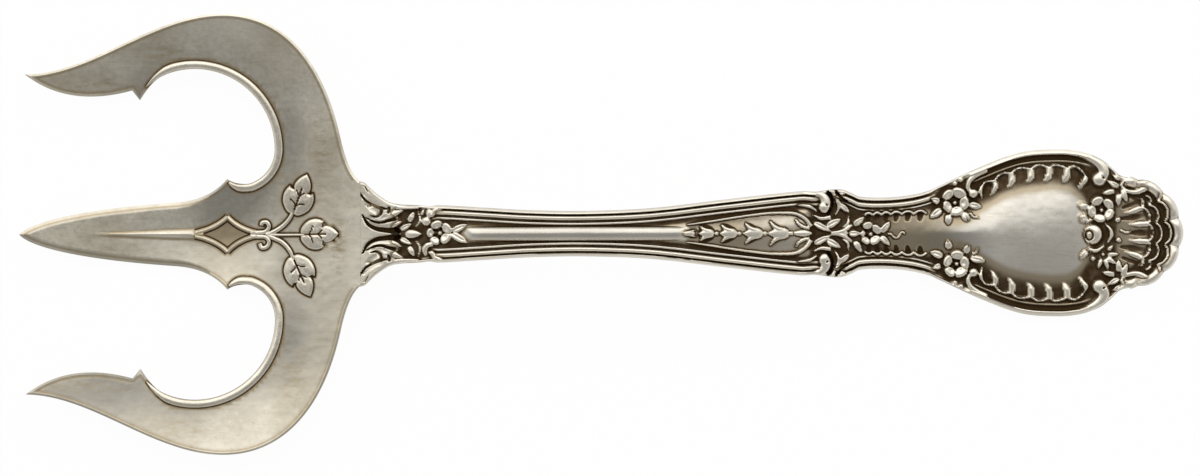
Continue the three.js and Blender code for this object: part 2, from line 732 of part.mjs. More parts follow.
function fluteRow(side) {
  const from = medallionS + 7.2;
  const to = shellS - 6;
  const edge = [];
  const steps = fluteCount * 4;
  for (let n = 0; n <= steps; n += 1) {
    const wave = Math.abs(Math.sin((Math.PI * fluteCount * n) / steps));
    edge.push(insetPoint(lerp(from, to, n / steps), 3.35 - 0.5 * wave, side));
  }
  const parts = [raised(edge, 0.33, 0.55, -0.95, tailSwell)];
  for (let n = 0; n <= fluteCount; n += 1) {
    const s = lerp(from, to, n / fluteCount);
    const start = insetPoint(s, 3, side);
    const end = insetPoint(s - 0.9, 3 + fluteLength, side);
    parts.push(raised([start, end], 0.36, 0.5, -0.75, (t) => 1 - 0.6 * t));
  }
  return parts;
}

function rimVolute(side) {
  const s = shellS - 3.7;
  const curl = bend([s + 0.9, side * 11], [s + 2.2, side * 9.6], [s + 0.4, side * 9.2], 5);
  return [
    raised(curl, 0.9, 0.9, -0.7, (t) => 0.7 + 0.3 * t),
    bead(s, side * 9.2, 1.25, -0.6),
  ];
}

function roseCluster() {
  const s = shellS - 3.9;
  const rose = new THREE.LatheGeometry(
    [
      vec2(0, -sinkDepth), vec2(roseRadius, -sinkDepth), vec2(roseRadius, 0.25), vec2(roseRadius * 0.8, 0.75),
      vec2(roseRadius * 0.5, 0.85), vec2(roseRadius * 0.3, 0.4), vec2(0, 0.4),
    ],
    10,
  );
  rose.rotateX(Math.PI / 2);
  rose.translate(handleX + s - 0.8, -0.4, crownLine(s) + groundLevel + 0.2);
  return [
    solidOf(rose),
    ...rosette(s + 0.9, 3.8, 2.3, 90, groundLevel),
    ...rosette(s + 1.3, -4.7, 1.7, 50, groundLevel),
    raised(bend([s + 1.4, 1.4], [s + 3, -0.2], [s + 1.5, -2], 4), 0.5, 0.6, groundLevel),
    raised(bend([s - 1.6, -2.2], [s - 0.2, -3.2], [s + 1.2, -2.4], 4), 0.45, 0.6, groundLevel),
    leaf(s - 1, 4.2, 165, 2, 0.6, -0.7),
    leaf(s - 1.2, 2.4, -170, 2, 0.6, -0.7),
    leaf(s - 0.8, -3.6, -165, 2, 0.6, -0.7),
  ];
}

function shellKnot(side) {
  const out = (s, y) => [shellS + s, side * y];
  return [
    bead(shellS + 0.2, side * 7.6, 0.8, groundLevel + 0.4),
    raised(bend(out(0.6, 7.8), out(2, 9.4), out(3.9, 7.9), 5), 0.7, 0.9, groundLevel, tailSwell),
    leaf(shellS + 0.1, side * 7.4, side * 190, 2, 0.55, groundLevel + 0.1),
    leaf(shellS + 0.1, side * 7.2, side * 238, 2, 0.5, groundLevel + 0.1),
    leaf(shellS + 0.4, side * 7.2, side * 300, 2.2, 0.55, groundLevel + 0.1),
  ];
}

// Shell: rays from the hinge to a lobed rim, with three ridges that repeat the lobes
function shell() {
  const centreS = shellS + shellLength - shellRadius;
  const hingeS = centreS - 4.7;
  const lobe = (2 * Math.PI) / 13;
  const stepsPerLobe = 4;
  const columns = shellLobes * stepsPerLobe;
  const rows = [
    [0.2, -1], [0.38, -0.95], [0.57, -0.6], [0.63, -0.05], [0.69, -0.6], [0.75, -0.05],
    [0.81, -0.6], [0.875, -0.15], [0.94, 0], [1, -0.6],
  ];
  const top = crownLine(shellS);
  const rings = [];
  for (let n = 0; n <= columns; n += 1) {
    const turn = lobe * shellLobes * (n / columns - 0.5);
    const bulge = Math.abs(Math.cos((Math.PI * (n - columns / 2)) / stepsPerLobe));
    const reach = shellRadius - lobeDepth * (1 - bulge);
    const rim = vec2(centreS + reach * Math.cos(turn), reach * Math.sin(turn));
    const fade = smoothstep(Math.abs(turn), lobe * (shellLobes / 2 - 1), lobe * (shellLobes / 2));
    const ring = rows.map(([share, height]) => {
      const hollow = share < 0.6 ? 0.3 * bulge : 0;
      return new THREE.Vector3(
        handleX + lerp(hingeS, rim.x, share),
        rim.y * share,
        top + lerp(height - hollow, groundLevel - sinkDepth, fade),
      );
    });
    const floor = top - shellThickness + 0.1;
    const [inner, outer] = [ring[0], ring.at(-1)];
    rings.push([...ring, new THREE.Vector3(outer.x, outer.y, floor), new THREE.Vector3(inner.x, inner.y, floor)]);
  }
  return loft(rings);
}

function handle() {
  const whole = joined([
    handleBlank(),
    shell(),
    ...neckRosette(),
    ...huskChain(),
    ...waistRosette(),
    ...roseCluster(),
    ...bothSides(neckPalmette),
    ...bothSides(panelBorder),
    ...bothSides(shoulderLeaves),
    ...bothSides(scallopedRow),
    ...bothSides(cornerRosette),
    ...bothSides(fluteRow),
    ...bothSides(rimVolute),
    ...bothSides(shellKnot),
  ]);
  const pocket = prism(tonguePlan(lapClearance), -10, lapTop + solderThickness);
  const ahead = boxBetween(new THREE.Vector3(-10, -50, -10), new THREE.Vector3(handleX, 50, 50));
  return whole.subtract(pocket).subtract(ahead).subtract(belowTable());
}

// Assembly: the origin lies on the table, under the middle of the fork
const fork = new THREE.Group();
fork.position.x = -overallLength / 2;
fork.add(
  meshOf("fork_head", forkHead(), 0xb4b0a4, 0.38),
  meshOf("handle", handle(), 0xc4bdaa, 0.3),
  meshOf("solder_seam", solderSeam(), 0xbdb6a2, 0.4),
  meshOf("edge_wire_upper", edgeWire(1), 0xb9b5a9, 0.32),
  meshOf("edge_wire_lower", edgeWire(-1), 0xb9b5a9, 0.32),
  meshOf("tine_diamond", tineDiamond(), 0xb9b4a6, 0.34),
  meshOf("sprig_stem", sprigStem(), 0xb9b4a6, 0.34),
);
for (const base of leafBases) {
  fork.add(meshOf(base.name, laidPlate(leafShape(base), sprigHeight, 0.25), 0xbab4a5, 0.34));
}

export default fork;
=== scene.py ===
# %% [markdown]
# # A silver bread fork
# The fork has a dished head with three tines and a handle whose ornament was struck by a die.
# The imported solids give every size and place. This lesson dresses them: it models the fine surface of the
# head, the leaf work laid on it and the relief of the handle, and gives each its own silver.

# %% The frame
import math

import bpy
import numpy as np
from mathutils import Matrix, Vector
from mathutils.bvhtree import BVHTree
from mathutils.geometry import delaunay_2d_cdt


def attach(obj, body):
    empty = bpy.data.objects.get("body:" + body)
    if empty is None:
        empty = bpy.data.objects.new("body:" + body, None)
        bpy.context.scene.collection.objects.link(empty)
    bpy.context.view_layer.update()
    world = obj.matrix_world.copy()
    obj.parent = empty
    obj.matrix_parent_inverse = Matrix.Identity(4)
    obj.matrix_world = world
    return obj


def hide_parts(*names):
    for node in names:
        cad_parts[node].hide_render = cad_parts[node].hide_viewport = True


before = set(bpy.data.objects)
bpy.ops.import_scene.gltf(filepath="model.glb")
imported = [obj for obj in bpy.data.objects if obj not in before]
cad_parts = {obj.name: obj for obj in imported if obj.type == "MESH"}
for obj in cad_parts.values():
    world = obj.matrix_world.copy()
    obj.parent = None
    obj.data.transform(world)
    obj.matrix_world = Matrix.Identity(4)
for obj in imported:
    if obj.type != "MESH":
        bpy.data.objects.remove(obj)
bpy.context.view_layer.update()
print("solids:", sorted(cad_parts))

# %% [markdown]
# ## Measures
# A silversmith measures from the tip of the centre tine, in millimetres, and so does this lesson.
# The frame is in metres with its origin half way along the fork, so one function moves points there.

# %% Measures of the whole fork
MM = 0.001
OVERALL = 200.0
SEAM_X = 58.45
HANDLE_X = 58.6


def to_frame(points):
    """Points in millimetres from the tine tip, as metres in the frame."""
    moved = np.array(points, float).reshape(-1, 3)
    moved[:, 0] -= OVERALL / 2
    return moved * MM


def smooth(value, low, high):
    share = np.clip((value - low) / (high - low), 0, 1)
    return share * share * (3 - 2 * share)


def through(pairs):
    """A smooth function through (place, value) pairs, by cubic pieces."""
    places = np.array([pair[0] for pair in pairs], float)
    values = np.array([pair[1] for pair in pairs], float)
    slopes = np.gradient(values, places)
    slopes[1:-1] = (values[2:] - values[:-2]) / (places[2:] - places[:-2])

    def value_at(place):
        at = np.clip(place, places[0], places[-1])
        i = np.clip(np.searchsorted(places, at, side="right") - 1, 0, len(places) - 2)
        span = places[i + 1] - places[i]
        t = (at - places[i]) / span
        rise = (t**3 - 2 * t**2 + t) * slopes[i] + (t**3 - t**2) * slopes[i + 1]
        return values[i] + (values[i + 1] - values[i]) * t * t * (3 - 2 * t) + rise * span

    return value_at


print("the fork is", OVERALL, "mm long, and the seam lies at", SEAM_X)

# %% [markdown]
# ## Heights
# The head is swept along the fork and dished across it, like a shallow spoon. The handle carries on from
# the seam in one line, rises to a crest and comes down to the table again under the medallion. These are
# the same curves as those of the solids, so every new surface lies close to its solid.

# %% Heights of the head and of the handle
TIP_THICKNESS = 1.1
BELLY_THICKNESS = 1.9
ROOT_THICKNESS = 2.2
BELLY_X = 26.0
SWEEP_RADIUS = 121.0
DISH_RADIUS = 250.0
REST_FLAT = 0.12
CREST_S = 36.4
PAD_S = 119.34
END_S = 141.4
PAD_THICKNESS = 2.4

head_thickness = through([(0, TIP_THICKNESS), (BELLY_X, BELLY_THICKNESS), (SEAM_X, ROOT_THICKNESS)])
handle_thickness = through(
    [(0, ROOT_THICKNESS), (7.5, 3.5), (CREST_S, 3.4), (83.9, 2.8), (PAD_S, PAD_THICKNESS), (END_S, 2.0)]
)


def sheet_top(x, y):
    """The sheet as it was swept and dished, before the face was worked."""
    sweep = (x - BELLY_X) ** 2 / (2 * SWEEP_RADIUS)
    return BELLY_THICKNESS - REST_FLAT + sweep + y**2 / (2 * DISH_RADIUS)


SEAM_TOP = sheet_top(SEAM_X, 0.0)
SEAM_SLOPE = (SEAM_X - BELLY_X) / SWEEP_RADIUS
CREST_TOP = SEAM_TOP + SEAM_SLOPE * CREST_S / 2


def crown(x):
    """Height of the handle's crown line."""
    s = np.asarray(x, float) - HANDLE_X
    near = np.clip(s, 0, CREST_S)
    rising = SEAM_TOP + SEAM_SLOPE * (near - near**2 / (2 * CREST_S))
    falling = CREST_TOP + (PAD_THICKNESS - REST_FLAT - CREST_TOP) * smooth(s, CREST_S, PAD_S)
    return np.where(s < CREST_S, rising, falling)


heights = [round(float(height), 2) for height in (SEAM_TOP, CREST_TOP)]
print("the seam and the crest lie", heights, "mm above the table")

# %% [markdown]
# ## Small tools
# A few helpers keep the cells short: one clears the selection, one turns points and faces into an object,
# and a few draw smooth lines in plan.

# %% Helpers for meshes
def select_only(*pieces):
    bpy.ops.object.select_all(action="DESELECT")
    for piece in pieces:
        piece.select_set(True)
    bpy.context.view_layer.objects.active = pieces[0]


def mesh_object(name, points, faces):
    """A new object from points in millimetres from the tine tip."""
    mesh = bpy.data.meshes.new(name)
    mesh.from_pydata(to_frame(points).tolist(), [], faces)
    mesh.validate()
    made = bpy.data.objects.new(name, mesh)
    bpy.context.scene.collection.objects.link(made)
    return made


def mesh_points(piece):
    points = np.empty(len(piece.data.vertices) * 3)
    piece.data.vertices.foreach_get("co", points)
    return points.reshape(-1, 3)


def set_points(piece, points):
    piece.data.vertices.foreach_set("co", np.asarray(points, np.float32).ravel())
    piece.data.update()


def in_edit_mode(piece):
    select_only(piece)
    bpy.ops.object.mode_set(mode="EDIT")
    bpy.ops.mesh.select_all(action="SELECT")


def finish_shading(piece, angle):
    in_edit_mode(piece)
    bpy.ops.mesh.normals_make_consistent(inside=False)
    bpy.ops.object.mode_set(mode="OBJECT")
    bpy.ops.object.shade_smooth_by_angle(angle=math.radians(angle))


def joined(name, pieces):
    select_only(*pieces)
    bpy.ops.object.join()
    made = bpy.context.object
    made.name = name
    made.data.name = name
    return made


# %% Helpers for lines in plan
def bezier(corners, steps):
    """Points of a Bezier curve, from any number of corners."""
    t = np.linspace(0, 1, steps + 1)[:, None]
    level = [np.ones_like(t) * np.array(corner, float) for corner in corners]
    while len(level) > 1:
        level = [a * (1 - t) + b * t for a, b in zip(level, level[1:])]
    return level[0]


def arc(centre, radius, start, end, steps):
    turn = np.radians(np.linspace(start, end, steps + 1))
    return np.array(centre) + radius * np.stack([np.cos(turn), np.sin(turn)], axis=1)


def flowing(points, spacing=0.2):
    """A smooth line through a few points, at an even spacing, and its place between them."""
    corners = np.array(points, float)
    chord = np.concatenate([[0], np.cumsum(np.linalg.norm(np.diff(corners, axis=0), axis=1))])
    fine = np.linspace(0, chord[-1], max(int(chord[-1] / spacing), 5) + 1)
    if len(corners) == 2:
        lines = [np.interp(fine, chord, corners[:, axis]) for axis in (0, 1)]
    else:
        lines = [through(list(zip(chord, corners[:, axis])))(fine) for axis in (0, 1)]
    return np.stack(lines, axis=1), np.interp(fine, chord, np.arange(len(corners)))


def on_side(side, points):
    """The same points on the upper side (1) or on the lower side (-1)."""
    return [(x, side * y) for x, y in points]


# %% [markdown]
# ## Plan of the head
# The head was sawn from sheet: a spear in the middle, two barbed outer tines, and an arch between each
# pair. One half is drawn from the spear's tip round to the root, with arcs for the round stretches, and
# the other half is its mirror image. An edge traced point by point would be shaky, so a few curves carry it.

# %% Outline of the head
HEEL_X = 43.9
HEAD_HALF_WIDTH = 37.8
CREST_X = HEEL_X - 8.9
OUTER_TIP = (1.2, 27.4)
TINE_HALF_WIDTH = 5.5
ARCH_RADIUS = 13.84
EYE = (HEEL_X - ARCH_RADIUS, 14.6)
HEEL_RADIUS = 6.2
HEEL_CENTRE = (HEEL_X - HEEL_RADIUS, EYE[1])
CUSP_HEIGHT = 9.5
DIAMOND_X = HEEL_CENTRE[0] - 2.1
BARB_TURN = math.radians(138)
BARB = (EYE[0] + 12.7 * math.cos(BARB_TURN), EYE[1] + 12.7 * math.sin(BARB_TURN))
ROOT_HALF_WIDTH = 9.0


def half_outline():
    shank = (HEEL_X - 16.9, TINE_HALF_WIDTH)
    cusp = (DIAMOND_X, CUSP_HEIGHT)
    heel = arc(HEEL_CENTRE, HEEL_RADIUS, -75, 0, 24)
    arch = arc(EYE, ARCH_RADIUS, 0, 116, 90)
    blade = (BARB[0] - 1.3, BARB[1] + 1.65)
    crest = (CREST_X, HEAD_HALF_WIDTH)
    flank = (SEAM_X - 3.3, ROOT_HALF_WIDTH + 7.6)
    root = (SEAM_X, ROOT_HALF_WIDTH)
    pieces = [
        bezier([(0, 0), (2, 2.3), (11, TINE_HALF_WIDTH - 1.1), shank], 70),
        bezier([shank, (DIAMOND_X - 3, TINE_HALF_WIDTH + 0.5), cusp], 26),
        bezier([cusp, (DIAMOND_X + 1, heel[0][1]), heel[0]], 12),
        heel,
        arch,
        bezier([arch[-1], (BARB[0] + 1.6, BARB[1] + 2.6), BARB], 16),
        bezier([BARB, blade], 5),
        bezier([blade, (OUTER_TIP[0] + 7.2, OUTER_TIP[1] - 5.7), OUTER_TIP], 56),
        bezier([OUTER_TIP, (12.5, OUTER_TIP[1] + 0.2), (CREST_X - 12, HEAD_HALF_WIDTH), crest], 100),
        bezier([crest, (CREST_X + 11, HEAD_HALF_WIDTH), (flank[0] - 2.7, flank[1] + 12.4), flank], 90),
        bezier([flank, (SEAM_X - 2, ROOT_HALF_WIDTH + 1.6), root], 24),
        bezier([root, (SEAM_X, 0)], 30),
    ]
    return np.concatenate([pieces[0]] + [piece[1:] for piece in pieces[1:]])


upper_edge = half_outline()
lower_edge = np.array(on_side(-1, upper_edge[1:-1]))[::-1]
head_outline = np.concatenate([upper_edge, lower_edge])
print("the outline has", len(head_outline), "points")

# %% [markdown]
# ## The head
# A filled outline would leave long thin faces, and satin silver shows every one of them. So the plan is
# filled with an even net of points: rows that run along the edge, where the bevel is, and a lattice
# inside, finer round the leaf work. A Delaunay net joins them, and then each point is lifted to its
# height, on the face and on the back. An inset would do the same by hand, but it crosses itself in the
# sharp tips of the tines.

# %% A net of points inside an outline
def edge_distance(points, edge, closed=True):
    """Distance of each point from a line of short straight pieces."""
    starts = edge if closed else edge[:-1]
    ends = np.roll(edge, -1, axis=0) if closed else edge[1:]
    along = ends - starts
    length2 = np.maximum((along**2).sum(1), 1e-12)
    nearest = np.empty(len(points))
    batch = 1500
    for first in range(0, len(points), batch):
        part = points[first : first + batch, None, :] - starts[None]
        share = np.clip((part * along).sum(2) / length2, 0, 1)
        gap = part - share[..., None] * along
        nearest[first : first + batch] = np.sqrt((gap**2).sum(2).min(1))
    return nearest


def lattice(low, high, pitch):
    across, along = np.meshgrid(np.arange(low[0], high[0], pitch), np.arange(low[1], high[1], pitch))
    return np.stack([across.ravel(), along.ravel()], axis=1)


def net_inside(outline, rows, pitch, fine_fields=()):
    """Points and triangles that fill an outline, with rows at these distances from its edge."""
    after = np.roll(outline, -1, axis=0)
    step = after - np.roll(outline, 1, axis=0)
    inward = np.stack([step[:, 1], -step[:, 0]], axis=1) / np.linalg.norm(step, axis=1)[:, None]
    turning = np.sum(outline[:, 0] * after[:, 1] - outline[:, 1] * after[:, 0])
    inward *= -1 if turning > 0 else 1
    inner = []
    for row in rows:
        ring = outline + inward * row
        inner.append(ring[edge_distance(ring, outline) > row * 0.97])
    plain = lattice(outline.min(0), outline.max(0), pitch)
    clear = max(rows) + 0.45 * pitch
    for low, high, fine_pitch in fine_fields:
        outside = np.any((plain < low) | (plain > high), axis=1)
        plain = np.concatenate([plain[outside], lattice(low, high, fine_pitch)])
        clear = max(rows) + 0.1
    plain = plain[edge_distance(plain, outline) > clear]
    points = [Vector(point) for point in np.concatenate([outline, *inner, plain])]
    border = [(i, (i + 1) % len(outline)) for i in range(len(outline))]
    net = delaunay_2d_cdt(points, border, [], 1, 1e-5)
    return np.array([tuple(point) for point in net[0]]), [list(face) for face in net[2]]


def plate(name, outline, rows, pitch, top, under, fine_fields=()):
    """A closed plate over an outline. top and under give heights from points and their edge distance."""
    points, faces = net_inside(outline, rows, pitch, fine_fields)
    inset = edge_distance(points, outline)
    upper = np.column_stack([points, top(points[:, 0], points[:, 1], inset)])
    lower = np.column_stack([points, under(points[:, 0], points[:, 1], inset)])
    count = len(points)
    sides = {(a, b) for face in faces for a, b in zip(face, face[1:] + face[:1])}
    walls = [[b, a, a + count, b + count] for a, b in sorted(sides) if (b, a) not in sides]
    backs = [[i + count for i in reversed(face)] for face in faces]
    made = mesh_object(name, np.concatenate([upper, lower]), faces + backs + walls)
    finish_shading(made, 32)
    print(name, "has", len(made.data.polygons), "faces")
    return made


# %% [markdown]
# The spear is ground to a bevel on both sides and has a midrib that rises to the diamond. The arms only
# have a fine bevel, which catches the light as a bright line, with a shallow line cut inside it. Round
# the diamond the face is hollowed, and beside each arch it swells a little up to the wire. All of these
# could be sculpted, but as heights over the plan they keep their real sizes.

# %% Head plate
TINE_BEVEL = 1.0
TINE_DROP = 0.36
ARM_BEVEL = 0.34
ARM_DROP = 0.24
LINE_INSET = 0.66
LINE_HALF_WIDTH = 0.14
LINE_DEPTH = 0.03
MIDRIB_START = 11.4
MIDRIB_END = DIAMOND_X - 4.6
MIDRIB_WIDTHS = (0.2, 0.85)
MIDRIB_HEIGHT = 0.42
HOLLOW = (33.0, 17.0, 12.0, 0.6)
SWELL_HEIGHT = 0.3
SWELL_REACH = 2.0
BACK_ROUND_DEPTH = 0.3
BACK_ROUND_WIDTH = 0.5
ARM_LIFT = 0.0025
ARM_START = 20.0
SPRIG_FIELD = ((29.0, -11.6), (52.0, 11.6), 0.24)
MIDRIB_FIELD = ((11.0, -1.7), (29.0, 1.7), 0.22)
EDGE_ROWS = (0.18, 0.34, 0.6, 0.95, 1.18, 1.34, 1.6)
HEAD_PITCH = 0.75


def midrib_reach(x):
    return MIDRIB_WIDTHS[0] + (MIDRIB_WIDTHS[1] - MIDRIB_WIDTHS[0]) * smooth(x, MIDRIB_START, MIDRIB_END)


def spear_share(x, y):
    return (1 - smooth(x, DIAMOND_X - 9, DIAMOND_X - 2)) * (1 - smooth(np.abs(y), 8, 10))


def lifted_sheet(x, y):
    """The sheet with its arms bent up a little more."""
    return sheet_top(x, y) + ARM_LIFT * np.maximum(np.abs(y) - ARM_START, 0) ** 2


def from_wire(x, y):
    """Distance from the edge that the wire follows: round the eye above it, round the heel below it."""
    across = np.abs(y) - EYE[1]
    by_arch = np.hypot(x - EYE[0], across) - ARCH_RADIUS
    by_heel = np.hypot(x - HEEL_CENTRE[0], across) - HEEL_RADIUS
    return np.where(across > 0, by_arch, by_heel)


def head_top(x, y):
    """The worked face: hollowed round the diamond, and swelling up to the wires."""
    centre, length, width, depth = HOLLOW
    hollow = depth * np.clip(1 - ((x - centre) / length) ** 2 - (y / width) ** 2, 0, 1) ** 3
    from_arch = from_wire(x, y)
    by_wire = (1 - smooth(from_arch, 4, 9)) * smooth(x, EYE[0] - 9, EYE[0] - 3) * (1 - spear_share(x, y))
    swell = SWELL_HEIGHT * np.exp(-np.maximum(from_arch, 0) / SWELL_REACH) * by_wire
    return lifted_sheet(x, y) - hollow + swell


def near_seam(x):
    """1 at the seam, where the plate keeps its full section, and 0 on the rest of the head."""
    return smooth(x, SEAM_X - 1.6, SEAM_X - 0.4)


def head_face(x, y, inset):
    on_spear = spear_share(x, y)
    width = ARM_BEVEL + (TINE_BEVEL - ARM_BEVEL) * on_spear
    drop = ARM_DROP + (TINE_DROP - ARM_DROP) * on_spear
    at_seam = near_seam(x) * (np.abs(y) < ROOT_HALF_WIDTH - 0.3)
    bevel = drop * np.clip(1 - inset / width, 0, 1)
    line = LINE_DEPTH * np.exp(-(((inset - LINE_INSET) / LINE_HALF_WIDTH) ** 2)) * (1 - on_spear)
    flank = np.clip(1 - np.abs(y) / midrib_reach(x), 0, 1) ** 1.2
    midrib = MIDRIB_HEIGHT * smooth(x, MIDRIB_START, MIDRIB_END) ** 0.6 * flank * (x < MIDRIB_END + 0.6)
    return head_top(x, y) - (bevel + line) * (1 - at_seam) + midrib


def head_back(x, y, inset):
    plain = lifted_sheet(x, y) - head_thickness(x)
    round_over = BACK_ROUND_DEPTH * np.clip(1 - inset / BACK_ROUND_WIDTH, 0, 1) ** 2 * (1 - near_seam(x))
    return np.maximum(plain + round_over, 0)


fine_fields = (SPRIG_FIELD, MIDRIB_FIELD)
head = plate("head_plate", head_outline, EDGE_ROWS, HEAD_PITCH, head_face, head_back, fine_fields)

# %% [markdown]
# ## The lap behind the seam
# Under the handle the head runs on as a short tongue with a round end, the heel of the lap joint. It only
# shows on the back, as a low boss. It could be a bevelled block, but the tool for plates is at hand and
# rounds its edge over as well.

# %% Tongue of the lap joint
TONGUE_LENGTH = 7.5
TONGUE_HALF_WIDTH = 4.6
TONGUE_THICKNESS = 1.0
TONGUE_START = SEAM_X - 0.8
TONGUE_ROUND_DEPTH = 0.45
TONGUE_ROUND_WIDTH = 0.7
TONGUE_ROWS = (0.25, 0.5, 0.75)
TONGUE_PITCH = 0.6
tongue_under = SEAM_TOP - ROOT_THICKNESS
tongue_turn = SEAM_X + TONGUE_LENGTH - TONGUE_HALF_WIDTH
tongue_corners = [
    (tongue_turn, TONGUE_HALF_WIDTH),
    (TONGUE_START, TONGUE_HALF_WIDTH),
    (TONGUE_START, -TONGUE_HALF_WIDTH),
    (tongue_turn, -TONGUE_HALF_WIDTH),
]
tongue_sides = [bezier(side, 10)[1:] for side in zip(tongue_corners, tongue_corners[1:])]
tongue_round = arc((tongue_turn, 0), TONGUE_HALF_WIDTH, -90, 90, 40)
tongue_outline = np.concatenate([tongue_round, *tongue_sides])[:-1]


def tongue_back(x, y, inset):
    round_over = np.clip(1 - inset / TONGUE_ROUND_WIDTH, 0, 1) ** 2 * smooth(x, SEAM_X, SEAM_X + 1.2)
    return tongue_under + TONGUE_ROUND_DEPTH * round_over


def tongue_face(x, y, inset):
    return np.full(len(x), tongue_under + TONGUE_THICKNESS)


tongue = plate("lap_tongue", tongue_outline, TONGUE_ROWS, TONGUE_PITCH, tongue_face, tongue_back)

# %% [markdown]
# ## Wires, stems and leaves
# Half-round wire follows each arch from the barb round to the cusp, and a sprig grows from a small diamond
# at the foot of the spear. A strand is a curve with a round bevel, turned into a mesh and then laid on
# whatever lies under it, so the same tool makes wire, stems, scrolls and tendrils. Each point of its line
# has a half width of its own. The wire is thinned at both ends, where it runs out.

# %% A strand along a line
THINNEST = 0.03


def strand(name, line, widths, rise, ground, sides=3, flatness=0.5):
    """A strand along a smooth line in plan. ground gives the height under it, rise its own height."""
    path, place = flowing(line)
    width = np.interp(place, np.arange(len(line)), np.broadcast_to(widths, len(line)))
    widest = width.max()
    bpy.ops.object.select_all(action="DESELECT")
    bpy.ops.curve.primitive_nurbs_path_add()
    made = bpy.context.object
    made.name = name
    made.data.splines.clear()
    spline = made.data.splines.new("POLY")
    spline.points.add(len(path) - 1)
    corners = np.column_stack([path, np.zeros(len(path)), np.ones(len(path))])
    spline.points.foreach_set("co", corners.ravel())
    spline.points.foreach_set("radius", np.maximum(width, THINNEST))
    made.data.dimensions = "3D"
    made.data.twist_mode = "Z_UP"
    made.data.bevel_depth = 1.0
    made.data.bevel_resolution = sides - 1
    made.data.use_fill_caps = True
    bpy.ops.object.convert(target="MESH")
    points = mesh_points(made)
    height = np.sign(points[:, 2]) * (np.abs(points[:, 2]) / widest) ** flatness
    points[:, 2] = rise * height + ground(points[:, 0], points[:, 1])
    set_points(made, to_frame(points))
    return made


# %% Edge wires
WIRE_HALF_WIDTH = 0.72
WIRE_RISE = 0.5
WIRE_OVERLAP = 0.05
WIRE_TURNS = np.linspace(128, 0, 22)
BARB_BEND = 1.3
WIRE_TAIL = [(37.75, 7.94), (36.65, 8.36), (35.9, 8.9)]
reach = WIRE_HALF_WIDTH - WIRE_OVERLAP
radii = ARCH_RADIUS + reach - BARB_BEND * smooth(WIRE_TURNS, 104, 140)
turned = np.radians(WIRE_TURNS)
bow = np.column_stack([EYE[0] + radii * np.cos(turned), EYE[1] + radii * np.sin(turned)])
heel_bow = arc(HEEL_CENTRE, HEEL_RADIUS + reach, 0, -74, 8)[1:]
wire_line = np.concatenate([bow, heel_bow, WIRE_TAIL])
place = np.arange(len(wire_line))
taper = np.minimum(np.minimum(1, 0.2 + 0.25 * place), 0.35 + 0.3 * place[::-1])
wire_widths = WIRE_HALF_WIDTH * taper
wires = []
for side, name in ((1, "edge_wire_upper"), (-1, "edge_wire_lower")):
    wire = strand(name + "_silver", wire_line * (1, side), wire_widths, WIRE_RISE, head_top, 5, 0.8)
    finish_shading(wire, 60)
    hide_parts(name)
    wires.append(wire)
print("wires:", [wire.name for wire in wires])

# %% [markdown]
# The diamond is a frame of four hollow-curved bars with a roof-shaped section. The midrib of the spear
# runs into its back corner, and the front corner runs out into the sprig. A strand with one flat side on
# each flank gives the roof shape, so the bars need no tool of their own. The stem is made of strands too:
# three branches and two volutes that meet in a knot.

# %% Diamond
DIAMOND_HALF_HEIGHT = 3.0
DIAMOND_BACK = DIAMOND_X - 4.9
DIAMOND_FRONT = DIAMOND_X + 4.5
BAR_HALF_WIDTH = 0.66
BAR_RISE = 0.45
bars = []
for side in (1, -1):
    peak = (DIAMOND_X, side * DIAMOND_HALF_HEIGHT)
    back_bar = bezier([(DIAMOND_BACK - 0.7, 0.3 * side), (DIAMOND_X - 2.1, side * 1.0), peak], 8)
    front_bar = bezier([peak, (DIAMOND_X + 1.9, side * 0.9), (DIAMOND_FRONT + 0.7, 0.25 * side)], 8)
    for bar in (back_bar, front_bar):
        bars.append(strand("bar", bar, BAR_HALF_WIDTH, BAR_RISE, head_top, 1, 1.0))
diamond = joined("tine_diamond_silver", bars)
finish_shading(diamond, 30)
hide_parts("tine_diamond")
print("the diamond is", round(DIAMOND_FRONT - DIAMOND_BACK, 1), "mm long")

# %% Stem
STEM_RISE = 0.42
BRANCH_WIDTHS = (0.3, 0.42, 0.42, 0.38, 0.3)
VOLUTE_WIDTH = 0.4
STEM_LINES = [
    ([(42.2, 0.1), (43.3, 0.3), (45.1, 1.35), (46.4, 2.75), (47.05, 4.2)], BRANCH_WIDTHS),
    ([(42.2, 0.0), (44.5, -0.12), (48.9, -0.1)], (0.3, 0.26, 0.22)),
    ([(42.2, -0.1), (43.3, -0.55), (45.1, -1.4), (46.4, -2.85), (47.05, -4.4)], BRANCH_WIDTHS),
    ([(39.6, 0.3), (41.0, 0.3), (42.2, 0.5), (42.8, 1.3), (42.4, 2.05), (41.6, 2.0), (41.5, 1.5)],
     VOLUTE_WIDTH),
    ([(39.6, -0.3), (41, -0.4), (42.2, -0.5), (42.8, -1.3), (42.4, -2.15), (41.5, -2.3), (41.2, -1.6)],
     VOLUTE_WIDTH),
]
stems = [strand("stem", line, widths, STEM_RISE, head_top, 4, 0.8) for line, widths in STEM_LINES]
stem = joined("sprig_stem_silver", stems)
finish_shading(stem, 50)
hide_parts("sprig_stem")
print("branches and volutes of the stem:", len(STEM_LINES))

# %% [markdown]
# A leaf is drawn once, in its own coordinates: along its midrib and across it, both as shares of its
# length and half width. Two lobes point forward beside a third at the tip. The edge is rounded over, the
# face is nearly flat, and the veins are cut into it and left dark. Each leaf is a small plate, made with
# the tool that made the head.

